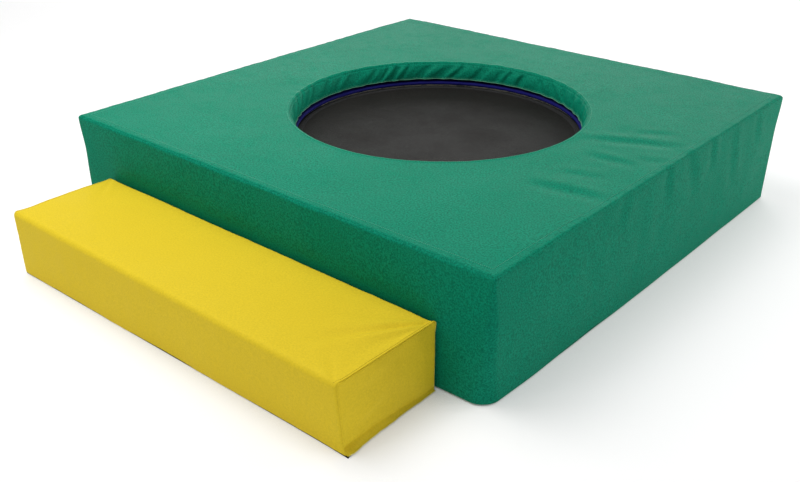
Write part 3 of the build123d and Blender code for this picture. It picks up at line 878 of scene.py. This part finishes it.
# ------------------------------------------------------------------ foam inside
def foam_block(node, bore, low, high, x_side, y_side):
    """A corner block of foam: a quarter of the square with a quarter of the round hole cut out."""
    half = HALF - FOAM_SIDE_INSET
    radius = max(FOOT_CORNERS)
    bends = np.linspace(0, math.pi / 2, 49)
    arc = np.column_stack([bore * np.cos(bends), bore * np.sin(bends)])
    corner_bends = bends[::4]
    pivot = half - radius
    corner = np.column_stack([pivot + radius * np.cos(corner_bends), pivot + radius * np.sin(corner_bends)])
    up_side = np.column_stack([np.full(24, half), np.linspace(0, pivot, 24, endpoint=False)])
    along_back = np.column_stack([np.linspace(pivot, 0, 24), np.full(24, half)])
    outline = np.concatenate([up_side, corner, along_back[1:], arc[::-1]])
    count = len(outline)
    middle = outline.mean(axis=0)
    inward = (middle - outline) / np.linalg.norm(middle - outline, axis=1, keepdims=True)
    rows = []
    for z, draw in ((low, 0.0015), (low + 0.002, 0), (high - 0.002, 0), (high, 0.0015)):
        ring = (outline + inward * draw) * [x_side, y_side]
        rows.append(np.column_stack([ring[:, 0] + CX, ring[:, 1] + CY, np.full(count, z)]))
    points = np.array(rows)
    points += 0.0004 * relief(points, 0.05, 41)[..., None]
    faces = [list(face) for face in grid_faces(4, count, True)]
    faces += [list(range(count)), list(range(3 * count, 4 * count))[::-1]]
    piece = add_mesh(node + "_block", points.reshape(-1, 3), faces, FOAM)
    for polygon in piece.data.polygons:
        polygon.use_smooth = len(polygon.vertices) == 4
    belongs(piece, "foam", "surround", node)


def surround_foam():
    layers = {
        "surround_foam": (BORE, 0.0030, LIP_Z - 0.0010),
        "surround_lip_foam": (LIP_BORE, LIP_Z + 0.0045, HEIGHT - FOAM_INSET),
    }
    for layer, (radius, low, high) in layers.items():
        for end, y_side in (("front", -1), ("back", 1)):
            for side, x_side in (("left", -1), ("right", 1)):
                foam_block(f"{layer}_{end}_{side}", radius, low, high, x_side, y_side)


# ------------------------------------------------------------------ the yellow step
SX_HALF = (STEP_HIGH[0] - STEP_LOW[0]) / 2
STEP_FRONT, STEP_BACK = STEP_LOW[1], STEP_HIGH[1]
RIGHT_BACK = (SX_HALF, STEP_BACK, STEP_TOP)

# Creases in the step's top: start and end (X, Y, Z), width and depth; they start at the ear.
STEP_CREASES = (
    (RIGHT_BACK, (0.530, -1.000, STEP_TOP), 0.0170, 0.0120),
    (RIGHT_BACK, (0.480, -0.860, STEP_TOP), 0.0200, 0.0050),
    (RIGHT_BACK, (0.660, -1.010, STEP_TOP), 0.0200, 0.0045),
    ((-SX_HALF, STEP_BACK, STEP_TOP), (-0.600, -0.860, STEP_TOP), 0.012, 0.0035),
    ((SX_HALF, STEP_FRONT, STEP_TOP), (0.600, -0.990, STEP_TOP), 0.014, 0.0025),
)

# Creases in its end panels: start and end (Y, Z), width and depth.
END_CREASES = (
    ((STEP_FRONT + 0.07, 0.15), (STEP_BACK - 0.10, 0.19), 0.016, 0.0014),
    ((STEP_FRONT + 0.03, 0.05), (STEP_FRONT + 0.17, 0.09), 0.014, 0.0016),
)

# The pointed corners of the step's top: side, Y and how far each stands out.
STEP_EARS = (
    (1, STEP_BACK, 0.007),
    (1, STEP_FRONT, 0.001),
    (-1, STEP_BACK, 0.0015),
    (-1, STEP_FRONT, 0.003),
)


def step_loop():
    """The step's cross-section (Y, Z): up the front, over the top, down the back, along the floor."""
    low = STEP_BOTTOM
    slot_top, slot_low = STEP_ZIP_Z + ZIP_SLOT, STEP_ZIP_Z - ZIP_SLOT
    loop = []

    def line(start, end, count):
        for share in np.linspace(0, 1, count, endpoint=False) + 0.5 / count:
            loop.append(np.array(start) + (np.array(end) - start) * share)

    def arc(y, z, radius, start, count):
        for share in (np.arange(count) + 0.5) / count:
            bend = start - share * math.pi / 2
            loop.append(np.array([y + radius * math.cos(bend), z + radius * math.sin(bend)]))

    foot, edge = STEP_FOOT, STEP_EDGE
    arc(STEP_FRONT + foot, low + foot, foot, -math.pi / 2, 4)
    line((STEP_FRONT, low + foot), (STEP_FRONT, STEP_TOP - edge), 34)
    arc(STEP_FRONT + edge, STEP_TOP - edge, edge, math.pi, 12)
    line((STEP_FRONT + edge, STEP_TOP), (STEP_BACK - edge, STEP_TOP), 66)
    arc(STEP_BACK - edge, STEP_TOP - edge, edge, math.pi / 2, 12)
    line((STEP_BACK, STEP_TOP - edge), (STEP_BACK, slot_top + 0.002), 24)
    loop.append(np.array([STEP_BACK, slot_top]))
    loop.append(np.array([STEP_BACK, slot_low]))
    line((STEP_BACK, slot_low - 0.002), (STEP_BACK, low + foot), 3)
    arc(STEP_BACK - foot, low + foot, foot, 0, 4)
    wrap_points = len(loop)
    line((STEP_BACK - foot, low), (STEP_FRONT + foot, low), 20)
    return np.array(loop), wrap_points


def loop_inward(loop):
    """The direction into the step at each point of its cross-section."""
    along = np.roll(loop, -1, axis=0) - np.roll(loop, 1, axis=0)
    along /= np.linalg.norm(along, axis=1, keepdims=True)
    return np.column_stack([along[:, 1], -along[:, 0]])


def end_radius(loop, side):
    """The fold at the step's ends: a tight sewn edge, but a soft one down the front right corner."""
    by_front = 1 - smooth(loop[..., 0], STEP_FRONT, STEP_FRONT + 0.03)
    return STEP_SEAM_EDGE + (STEP_FRONT_EDGE - STEP_SEAM_EDGE) * by_front * (side > 0)


def step_relief(points):
    """How far the yellow cover stands off its plain shape."""
    across, up = points[..., 0], points[..., 2]
    deep = np.clip((points[..., 1] - STEP_FRONT) / (STEP_BACK - STEP_FRONT), 0, 1)
    height = np.clip(up / STEP_TOP, 0, 1)
    ends = smooth(SX_HALF - np.abs(across), 0.0, 0.10)
    belly = np.sin(deep * math.pi) ** 0.7 * smooth(height, 0.5, 1.0)
    sides = np.sin(height * math.pi) ** 0.7 * (1 - smooth(height, 0.9, 1.0))
    amount = 0.0018 * belly * (0.15 + 0.85 * ends) + 0.0016 * sides * (0.3 + 0.7 * ends)
    amount += 0.0007 * relief(points, 0.30, 51) + 0.0004 * relief(points, 0.09, 52)
    inside = smooth(SX_HALF - np.abs(across), 0.003, 0.024)
    for start, end, width, depth in STEP_CREASES:
        amount = amount + crease(points, start, end, width, depth, (0, 0, 1), from_start=True) * inside
    ripple = np.exp(-(SX_HALF - np.abs(across)) / 0.018) * relief(points, 0.045, 53)
    zip_side = smooth(deep, 0.97, 0.999) * (1 - smooth(np.abs(up - STEP_ZIP_Z), 0.018, 0.045))
    strip_side = smooth(deep, 0.97, 0.999)
    return (amount + 0.0004 * ripple) * (1 - zip_side) * (1 - 0.7 * strip_side) - 0.0005 * strip_side


def step_corner_shifts(points):
    """Pointed ears at the top corners, a front that leans in, and a hem that kicks out at one foot."""
    moved = points.copy()
    for x_side, y, reach in STEP_EARS:
        ear = np.array([x_side * SX_HALF, y, STEP_TOP])
        near = np.exp(-((np.linalg.norm(points - ear, axis=-1) / 0.020) ** 2))
        moved += near[..., None] * np.array([x_side * reach * 0.8, 0.0, reach])
    to_right = np.clip((points[..., 0] + SX_HALF) / (2 * SX_HALF), 0, 1)
    to_front = np.clip((STEP_BACK - points[..., 1]) / (STEP_BACK - STEP_FRONT), 0, 1)
    to_floor = 1 - np.clip(points[..., 2] / STEP_TOP, 0, 1)
    moved[..., 1] += STEP_LEAN * to_right * to_front * to_floor
    foot = np.array([SX_HALF, STEP_FRONT])
    flat = np.linalg.norm(points[..., :2] - foot, axis=-1)
    kick = np.exp(-flat / 0.060) * np.exp(-points[..., 2] / 0.013)
    return moved + kick[..., None] * np.array([0.016, -0.003, 0.0])


def step_wrap_grid(loop):
    inward = loop_inward(loop)
    left, right = end_radius(loop, -1), end_radius(loop, 1)

    def fold_column(radius, bend, side):
        x = side * (SX_HALF - radius * (1 - math.cos(bend)))
        return np.column_stack([x, loop + inward * (radius * (1 - math.sin(bend)))[:, None]])

    bends = np.linspace(math.pi / 4, math.pi / 2, 5)[:-1]
    steps = np.linspace(-1, 1, STEP_COLUMNS)
    steps = (1.3 * steps - 0.3 * steps**3 + 1) / 2
    start, end = -(SX_HALF - left), SX_HALF - right
    columns = [fold_column(left, bend, -1) for bend in bends]
    columns += [np.column_stack([start + (end - start) * step, loop]) for step in steps]
    columns += [fold_column(right, bend, 1) for bend in bends[::-1]]
    return np.array(columns).transpose(1, 0, 2)


def graded(low, high, count):
    """Places from low to high that lie closer together near both ends."""
    share = np.linspace(0, 1, count)
    return low + (high - low) * (share - 0.6 * np.sin(2 * math.pi * share) / (2 * math.pi))


def step_end_grid(side):
    """An end panel, from its top edge down, with its corners and its sewn edge rounded."""
    ys, zs = graded(STEP_FRONT, STEP_BACK, END_COLUMNS), graded(STEP_TOP, STEP_BOTTOM, END_ROWS)
    y, z = np.meshgrid(ys, zs)
    loop = np.stack([y, z], axis=-1)
    fold = end_radius(loop, side)
    to_side = np.minimum(y - STEP_FRONT, STEP_BACK - y)
    to_edge = np.minimum(to_side, np.minimum(STEP_TOP - z, z - STEP_BOTTOM))
    flat = np.clip(to_edge / (0.7 * fold), 0, 1)
    for corner_y, corner_z, size in (
        (STEP_FRONT, STEP_TOP, STEP_EDGE),
        (STEP_BACK, STEP_TOP, STEP_EDGE),
        (STEP_FRONT, STEP_BOTTOM, STEP_FOOT),
        (STEP_BACK, STEP_BOTTOM, STEP_FOOT),
    ):
        pivot_y = corner_y + math.copysign(size, STEP_BACK + STEP_FRONT - 2 * corner_y)
        pivot_z = corner_z + math.copysign(size, STEP_TOP - 2 * corner_z)
        out_y, out_z = y - pivot_y, z - pivot_z
        here = (out_y * (corner_y - pivot_y) > 0) & (out_z * (corner_z - pivot_z) > 0)
        reach = np.maximum(np.abs(out_y), np.abs(out_z)) / np.maximum(np.hypot(out_y, out_z), 1e-9)
        y = np.where(here, pivot_y + out_y * reach, y)
        z = np.where(here, pivot_z + out_z * reach, z)
    x = side * (SX_HALF - fold * (1 - np.cos(math.pi / 4 * (1 - flat))))
    return np.stack([x, y, z], axis=-1), flat


def onto(path, points):
    """The nearest places on a closed path."""
    line = np.roll(path, -1, axis=0) - path
    share = ((points[:, None] - path) * line).sum(axis=-1) / np.maximum((line**2).sum(axis=-1), 1e-12)
    near = path + np.clip(share, 0, 1)[..., None] * line
    best = np.linalg.norm(points[:, None] - near, axis=-1).argmin(axis=1)
    return near[np.arange(len(points)), best]


def sewn_to(grid, seam):
    """Move a grid's border on to a seam, and the rows next to it part of the way."""
    moved = grid.copy()
    rows, columns = grid.shape[:2]
    row, column = np.meshgrid(np.arange(rows), np.arange(columns), indexing="ij")
    from_border = np.minimum(np.minimum(row, rows - 1 - row), np.minimum(column, columns - 1 - column))
    border = from_border == 0
    shift = np.zeros_like(grid)
    shift[border] = onto(seam, grid[border]) - grid[border]
    moved += shift
    for ring, share in ((1, 0.6), (2, 0.25)):
        for r, c in np.argwhere(from_border == ring):
            near_r = 0 if r == ring else rows - 1 if r == rows - 1 - ring else r
            near_c = 0 if c == ring else columns - 1 if c == columns - 1 - ring else c
            moved[r, c] += share * shift[near_r, near_c]
    return moved


def end_relief(points, side):
    """How far an end panel stands off: a crowned face, a groove above the hem and the hem's flare."""
    y, z = points[..., 1], points[..., 2]
    deep = np.clip((y - STEP_FRONT) / (STEP_BACK - STEP_FRONT), 0, 1)
    height = np.clip(z / STEP_TOP, 0, 1)
    amount = 0.0035 * (np.sin(deep * math.pi) * np.sin(height * math.pi)) ** 0.8
    amount += 0.0007 * relief(points, 0.11, 54) + 0.0004 * relief(points, 0.04, 55)
    hem_line = 0.020 + 0.006 * np.sin(deep * 5)
    groove = np.exp(-(((z - hem_line) / 0.006) ** 2))
    flare = 1 - smooth(z, 0.002, 0.018)
    strength = 0.35 + 0.65 * np.exp(-deep / 0.35) if side > 0 else 0.3
    amount += strength * (0.0100 * flare - 0.0090 * groove)
    x = side * SX_HALF
    for start, end, width, depth in END_CREASES:
        amount += crease(points, (x, *start), (x, *end), width, depth, (side, 0, 0))
    return amount


def step_skin(loop):
    """The step's skin with its outward normals, drawn in along both end seams."""
    plain = step_wrap_grid(loop)
    normals = -grid_normals(plain, False)
    full = step_corner_shifts(plain + normals * step_relief(plain)[..., None])
    into = grid_normals(full, False)
    valley = STEP_SEAM_DEPTH * smooth(loop[:, 0], STEP_FRONT, STEP_FRONT + 0.03)[:, None]
    for column, share in ((0, 1.0), (1, 0.5), (-1, 1.0), (-2, 0.5)):
        full[:, column] += into[:, column] * valley * share
    return full, -grid_normals(full, False)


def outside_the_zip(wrap, loop):
    """The faces of the step's wrap that stay: all but those over the zip."""
    count = len(wrap)
    slot_row = [r for r in range(count - 12, count - 1) if loop[r, 1] > STEP_ZIP_Z > loop[r + 1, 1]][0]
    middle = (wrap[slot_row, :-1, 0] + wrap[slot_row, 1:, 0]) / 2
    keep = np.ones((count - 1, wrap.shape[1] - 1), bool)
    keep[slot_row] = np.abs(middle) > STEP_ZIP_HALF
    return keep


def step_base():
    """The black cloth under the step."""
    half_x, y0, y1 = SX_HALF - 0.002, STEP_FRONT + 0.002, STEP_BACK - 0.002
    xs, ys = np.linspace(-half_x, half_x, 120), np.linspace(y0, y1, 40)[1:-1]
    outline = np.concatenate([
        np.column_stack([xs, np.full(120, y0)]),
        np.column_stack([np.full(38, half_x), ys]),
        np.column_stack([xs[::-1], np.full(120, y1)]),
        np.column_stack([np.full(38, -half_x), ys[::-1]]),
    ])
    outline = step_corner_shifts(np.column_stack([outline, np.zeros(len(outline))]))
    base_panel("step_base_cloth", "step_base_panel", "step", outline)


def step_cover():
    """The yellow cover: a wrap, two end panels sewn to it, their edges drawn pale as painted highlights, and
    their stitches.
    """
    loop, wrap_points = step_loop()
    full, full_normals = step_skin(loop)
    sides = ((-1, "left"), (1, "right"))
    seams = {-1: full[:, 0], 1: full[:, -1]}
    wrap, wrap_normals = full[:wrap_points], full_normals[:wrap_points]
    pieces = [("step_cover_wrap", wrap, wrap_normals, outside_the_zip(wrap, loop))]
    for side, word in sides:
        end, flat = step_end_grid(side)
        end = end + (end_relief(end, side) * flat)[..., None] * np.array([side, 0, 0])
        end = sewn_to(step_corner_shifts(end), seams[side])
        pieces.append((f"step_cover_end_{word}", end, side * grid_normals(end, False), None))
        # The hem's edge is a thin tube in a pale yellow: a painted highlight along the hem.
        path = end[-STEP_HEM_ROW, 2:-2] + np.array([side * 0.0008, 0, 0])
        edging(f"step_end_hem_highlight_{word}", path, STEP_WELT, YELLOW_EDGE_HIGHLIGHT, "yellow_vinyl", "step")
    for node, points, skin_normals, keep in pieces:
        piece = fabric(node + "_sewn", points, YELLOW, normals=skin_normals, keep=keep)
        belongs(piece, "yellow_vinyl", "step", node)
    top_of_front = int(np.argmax(loop[:, 1] > STEP_TOP - 0.004))
    top_of_back = int(np.argmax(loop[:, 0] > STEP_BACK - 0.004))
    for side, word in sides:
        # The turned edge down each end's back seam is drawn pale: a painted highlight along the edge.
        path = seams[side][top_of_back : wrap_points - 6] + np.array([side * 0.0004, 0, 0.0002])
        edging(f"step_end_welt_highlight_{word}", path, STEP_WELT, YELLOW_EDGE_HIGHLIGHT, "yellow_vinyl", "step")
    for word, column in (("left", 6), ("right", -7)):
        along = slice(top_of_front, -8)
        path = wrap[along, column] + wrap_normals[along, column] * THREAD_LIFT
        stitches(f"step_end_stitches_{word}", path, YELLOW_THREAD, "yellow_vinyl", "step")
    step_base()


def step_foam():
    """The foam block inside the step's cover."""
    loop = step_loop()[0]
    core = loop + loop_inward(loop) * STEP_FOAM_INSET
    core[:, 1] = np.maximum(core[:, 1], 0.0030)
    xs = np.linspace(-SX_HALF + STEP_FOAM_INSET, SX_HALF - STEP_FOAM_INSET, 40)
    points = np.array([np.column_stack([np.full(len(core), x), core]) for x in xs])
    points = step_corner_shifts(points)
    points += 0.0004 * relief(points, 0.05, 42)[..., None]
    count = len(core)
    faces = [list(face) for face in grid_faces(len(xs), count, True)]
    last = (len(xs) - 1) * count
    faces += [list(range(count)), list(range(last, last + count))[::-1]]
    piece = add_mesh("step_foam_block", points.reshape(-1, 3), faces, FOAM)
    belongs(piece, "foam", "step", "step_foam")


# ------------------------------------------------------------------ tapes and straps
def tape_strip(name, x_half, y_face, z_low, z_high, thickness, material, slot, body, outward):
    """A flat tape sewn to a face, a little uneven, its long edges drawn in towards the face."""
    xs = np.linspace(-x_half, x_half, 220)
    zs = np.linspace(z_high, z_low, 9)
    points = np.array([[(x, y_face, z) for x in xs] for z in zs])
    points[..., 2] += 0.0003 * relief(points * [1, 1, 0], 0.08, 81)
    edge = np.minimum(np.abs(points[..., 2] - z_low), np.abs(points[..., 2] - z_high))
    points[..., 1] -= outward * 0.25 * thickness * np.exp(-edge / 0.0015)
    normals = np.broadcast_to(np.array([0.0, outward, 0.0]), points.shape)
    piece = fabric(name, points, material, thickness=0.7 * thickness, normals=normals)
    belongs(piece, slot, body)
    return piece


def tapes():
    """The hook and loop strips and the zips' tapes, two of each."""
    rows = (  # node, body, the way it faces, what lies between the two bands
        ("surround_loop_strips", "surround", -1, None),
        ("step_hook_strips", "step", 1, None),
        ("surround_zip_tapes", "surround", 1, TEETH_REACH),
        ("step_zip_tapes", "step", 1, TEETH_REACH),
    )
    for node, body, outward, gap in rows:
        low, high = limits(node)
        middle = (low[2] + high[2]) / 2
        if gap is None:
            bands = ((low[2], low[2] + STRIP_WIDTH), (high[2] - STRIP_WIDTH, high[2]))
            look = (high[1] - low[1], HOOKS, "hook_and_loop")
            face = low[1] if outward < 0 else high[1]
        else:
            bands = ((low[2], middle - gap), (middle + gap, high[2]))
            look = (ZIP_TAPE_THICK, ZIP_TAPE, "zip_tape")
            face = (low[1] + high[1]) / 2
        for number, band in enumerate(bands, start=1):
            strip = tape_strip(f"{node}_{number}", high[0], face, *band, *look, body, outward)
            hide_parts(node)


def pad_straps():
    """Elastic straps that hang from the pad and pass under the ring tube."""
    ring = limits("frame_ring")
    tube_radius = (ring[1][2] - ring[0][2]) / 2
    ring_z = (ring[1][2] + ring[0][2]) / 2
    ring_radius = (ring[1][0] - ring[0][0]) / 2 - tube_radius
    reach = tube_radius + 0.0009
    bends = np.linspace(0, -math.pi, 25)
    section = [(reach, tube_radius - 0.001)]
    section += [(reach * math.cos(b), reach * math.sin(b)) for b in bends]
    section += [(-reach, tube_radius - 0.001)]
    section = np.array(section)
    for number in range(6):
        turn = math.radians(30 + 60 * number)
        c, s = math.cos(turn), math.sin(turn)
        rows = []
        for place in np.linspace(-0.010, 0.010, 7):
            r = ring_radius + section[:, 0]
            rows.append(np.column_stack([
                CX + r * c - place * s,
                CY + r * s + place * c,
                ring_z + section[:, 1] + 0 * r,
            ]))
        points = np.array(rows)
        strap = fabric(f"pad_strap_{number + 1}", points, ELASTIC, thickness=0.0010, flip=True)
        belongs(strap, "black_elastic", "trampoline", "pad_ties")


# ------------------------------------------------------------------ pad, mat and springs
# The pad's cross-section: radius and height of each corner, from the inner edge over the top.
PAD_SHAPE = (
    (0.5125, 0.3215), (0.5120, 0.3255), (0.5130, 0.3295), (0.5180, 0.3340), (0.5300, 0.3385),
    (0.5480, 0.3420), (0.5750, 0.3440), (0.6000, 0.3448), (0.6250, 0.3446), (0.6420, 0.3430),
    (0.6500, 0.3395), (0.6520, 0.3350), (0.6505, 0.3305), (0.6440, 0.3296), (0.6250, 0.3296),
    (0.5900, 0.3294), (0.5540, 0.3288), (0.5400, 0.3250), (0.5310, 0.3212), (0.5200, 0.3208),
)


def ring_piece(name, section, columns, material, wobble=0.0, pitch=0.1, seed=61):
    """A closed ring about the trampoline's axis, from a closed section of (radius, height) points."""
    turn = full_turn(columns)
    radius, height = np.array(section).T
    points = about_axis(radius[:, None], turn, height[:, None])
    if wobble:
        points[..., 2] += wobble * relief(points, pitch, seed)
    return add_mesh(name, points.reshape(-1, 3), torus_faces(len(radius), columns), material)


def torus_faces(rows, columns):
    index = np.arange(rows * columns).reshape(rows, columns)
    below, beside = np.roll(index, -1, axis=0), np.roll(index, -1, axis=1)
    return np.stack([index, beside, np.roll(below, -1, axis=1), below], axis=-1).reshape(-1, 4)


def pad():
    piece = ring_piece("spring_pad_padded", PAD_SHAPE, 720, NAVY, 0.0003, 0.07)
    piece.modifiers.new("smooth", "SUBSURF").levels = 1
    baked(piece)
    belongs(piece, "navy_vinyl", "trampoline", "pad_cover", "pad_foam")
    around = full_turn(24)
    bias = [(0.5145 + 0.0050 * math.cos(a), 0.3265 + 0.0062 * math.sin(a)) for a in around]
    tape = ring_piece("pad_binding_tape", bias, 720, BLUE_TAPE, 0.0004, 0.06, 62)
    belongs(tape, "blue_tape", "trampoline", "pad_edge_binding")
    path = circle_path(0.5168, 0.3324, 600)
    stitches("pad_binding_stitches", path, BLUE_THREAD, "blue_tape", "trampoline", True)


def jump_mat():
    """The woven mat: a stretched disc that dips a little in the middle."""
    radii = np.linspace(0, MAT_RADIUS, 61)[1:][::-1]
    turn = np.linspace(0, -2 * math.pi, 256, endpoint=False)
    z = BED_Z + 0.001 - 0.0025 * (1 - (radii / MAT_RADIUS) ** 2)
    points = about_axis(radii[:, None], turn, z[:, None])
    points[..., 2] += 0.0004 * relief(points, 0.25, 71) * (1 - radii[:, None] / MAT_RADIUS)
    piece = fabric("jump_mat_woven", points, MAT, closed=True, thickness=0.0016, cap=True)
    belongs(piece, "black_mesh", "jump_bed", "jump_mat")


def mat_edge():
    """Folded webbing round the mat, with its rows of stitches and a pocket bulge at each wire loop."""
    columns = 1440
    turn = full_turn(columns)
    bend = full_turn(28)
    at_loop = np.maximum(0, np.cos((turn - math.radians(5)) * SPRING_COUNT)) ** 8
    flat = np.sign(np.cos(bend)) * np.abs(np.cos(bend)) ** 0.35
    tall = np.sign(np.sin(bend)) * np.abs(np.sin(bend)) ** 0.6
    radius = 0.5065 + 0.0145 * flat[:, None] + 0 * turn
    height = BED_Z + (0.0021 + 0.0006 * at_loop) * tall[:, None]
    points = about_axis(radius, turn, height)
    piece = add_mesh("mat_edge_band", points.reshape(-1, 3), torus_faces(len(bend), columns), WEBBING)
    belongs(piece, "black_webbing", "jump_bed", "mat_edge_webbing")
    for number, reach in enumerate((0.4945, 0.5010, 0.5075), start=1):
        circle = circle_path(reach, BED_Z + 0.0024, columns)
        stitches(f"mat_edge_stitches_{number}", circle, BLACK_THREAD, "black_webbing", "jump_bed", True)


def spring_path():
    """A spring's wire along +X: mat hook, coil, ring hook."""
    path = [(MAT_HOOK, 0, -0.0040), (MAT_HOOK, 0, 0.0010)]
    path += [(MAT_HOOK + 0.0012, 0, 0.0034), (0.543, 0, 0.0034)]
    for step in range(COIL_TURNS * 12 + 1):
        share = step / (COIL_TURNS * 12)
        bend = share * COIL_TURNS * 2 * math.pi + math.pi / 2
        x = COIL_START + (COIL_END - COIL_START) * share
        path.append((x, COIL_RADIUS * math.cos(bend), COIL_RADIUS * math.sin(bend)))
    path += [(0.600, 0, 0.0025), (0.604, 0, 0.0), (RING_HOOK - 0.001, 0, 0.0)]
    path += [(RING_HOOK, 0, -0.0015), (RING_HOOK, 0, -0.008)]
    return np.array(path)


def springs():
    vertices, faces = tube(spring_path(), SPRING_WIRE, 7)
    for number in range(SPRING_COUNT):
        turn = (number + 0.5) * 2 * math.pi / SPRING_COUNT
        c, s = math.cos(turn), math.sin(turn)
        placed = vertices @ np.array([[c, s, 0], [-s, c, 0], [0, 0, 1]]) + [CX, CY, BED_Z]
        piece = add_mesh(f"coil_spring_{number + 1}", placed, faces, ZINC)
        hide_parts("bed_springs")
        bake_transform(piece)


# ------------------------------------------------------------------ zips
def zip_teeth(node, name, body):
    """A coil zip's teeth: two rows of small loops that face each other across the slot."""
    low, high = limits(node)
    middle_y, middle_z = (low[1] + high[1]) / 2, (low[2] + high[2]) / 2
    pitch = 0.0026
    parts = []
    for side in (-1, 1):
        for number in range(int((high[0] - low[0]) / pitch)):
            x = low[0] + (number + 0.5 + 0.25 * side) * pitch
            near, far = middle_z + side * 0.0007, middle_z + side * TEETH_REACH
            path = [
                (x, middle_y - 0.0008, far),
                (x, middle_y - 0.0010, near + side * 0.0006),
                (x, middle_y, near),
                (x, middle_y + 0.0010, near + side * 0.0006),
                (x, middle_y + 0.0008, far),
            ]
            parts.append(tube(path, 0.00045, 5))
    piece = add_mesh(name, *joined(parts), ZIP_PLASTIC)
    belongs(piece, "zip_plastic", body, node)


# ------------------------------------------------------------------ camera, light, floor
WHITE = (1, 1, 1, 1)
WORLD_LIGHT = 0.37
FLOOR_GREY = (0.60, 0.60, 0.60, 1)
FLOOR_HALF = 40.0
FLOOR_GLOW = 0.46         # the floor's own light where nothing shelters it
LIGHTS = (                # name, place, target, width, height and power
    ("overhead", (-1.0, -1.1, 3.6), (0, 0, 0.2), 2.7, 2.7, 116),
    ("window", (-3.4, 5.4, 2.0), (0, 0, 0.3), 9.0, 3.0, 205),
    ("side window", (3.4, 4.4, 1.8), (0.9, 0.8, 0.3), 2.2, 2.2, 105),
)
LENS, SENSOR = 42.5, 36
SHIFT_X, SHIFT_Y = 0.00325, 0.01075
EYE = Vector((2.019, -2.3495, 1.524))
YAW = math.radians(-41.14)
PITCH = math.radians(27.68)
ROLL = math.radians(-0.32)


def camera():
    forward = Vector((math.sin(YAW) * math.cos(PITCH), math.cos(YAW) * math.cos(PITCH), -math.sin(PITCH)))
    right = Vector((math.cos(YAW), -math.sin(YAW), 0))
    up = right.cross(forward)
    tilted_right = right * math.cos(ROLL) + up * math.sin(ROLL)
    tilted_up = -right * math.sin(ROLL) + up * math.cos(ROLL)
    data = bpy.data.cameras.new("camera")
    data.sensor_width = SENSOR
    data.lens = LENS
    data.shift_x = SHIFT_X
    data.shift_y = SHIFT_Y
    eye = bpy.data.objects.new("camera", data)
    turn = Matrix((tilted_right, tilted_up, -forward)).transposed().to_4x4()
    eye.matrix_world = Matrix.Translation(EYE) @ turn
    bpy.context.scene.collection.objects.link(eye)
    bpy.context.scene.camera = eye


def area_light(name, place, target, width, height, power):
    data = bpy.data.lights.new(name, "AREA")
    data.shape = "RECTANGLE"
    data.size = width
    data.size_y = height
    data.energy = power
    light = bpy.data.objects.new(name, data)
    light.location = place
    light.rotation_euler = (Vector(target) - Vector(place)).to_track_quat("-Z", "Y").to_euler()
    light.visible_camera = False
    bpy.context.scene.collection.objects.link(light)


def studio():
    world = bpy.data.worlds.new("studio")
    world.use_nodes = True
    sky = world.node_tree.nodes["Background"]
    sky.inputs["Color"].default_value = WHITE
    sky.inputs["Strength"].default_value = WORLD_LIGHT
    bpy.context.scene.world = world
    bpy.context.scene.view_settings.view_transform = "Standard"
    for light in LIGHTS:
        area_light(*light)
    n = Nodes("pale floor")
    n.set(Base_Color=FLOOR_GREY, Roughness=n.ramp(n.noise(2.0), 0, 1, 0.75, 0.85))
    sheltered = n.add("ShaderNodeAmbientOcclusion", {"Distance": 0.6}, samples=4)
    n.shader.inputs["Specular IOR Level"].default_value = 0.1
    n.shader.inputs["Emission Color"].default_value = WHITE
    n.set(Emission_Strength=n.ramp(sheltered.outputs["AO"], 0.05, 0.45, 0.0, FLOOR_GLOW))
    half = FLOOR_HALF
    corners = [(-half, -half, 0), (half, -half, 0), (half, half, 0), (-half, half, 0)]
    floor = add_mesh("floor", corners, [(0, 1, 2, 3)], n.material)


# ------------------------------------------------------------------ everything
studio()
camera()
dress_cad_nodes()
lowest_row = green_cover()
base_panel("surround_base_cloth", "surround_base_panel", "surround", lowest_row, BORE)
facing()
surround_foam()
step_cover()
step_foam()
tapes()
pad()
pad_straps()
jump_mat()
mat_edge()
springs()
zip_teeth("surround_zip_teeth", "surround_zip_coil", "surround")
zip_teeth("step_zip_teeth", "step_zip_coil", "step")
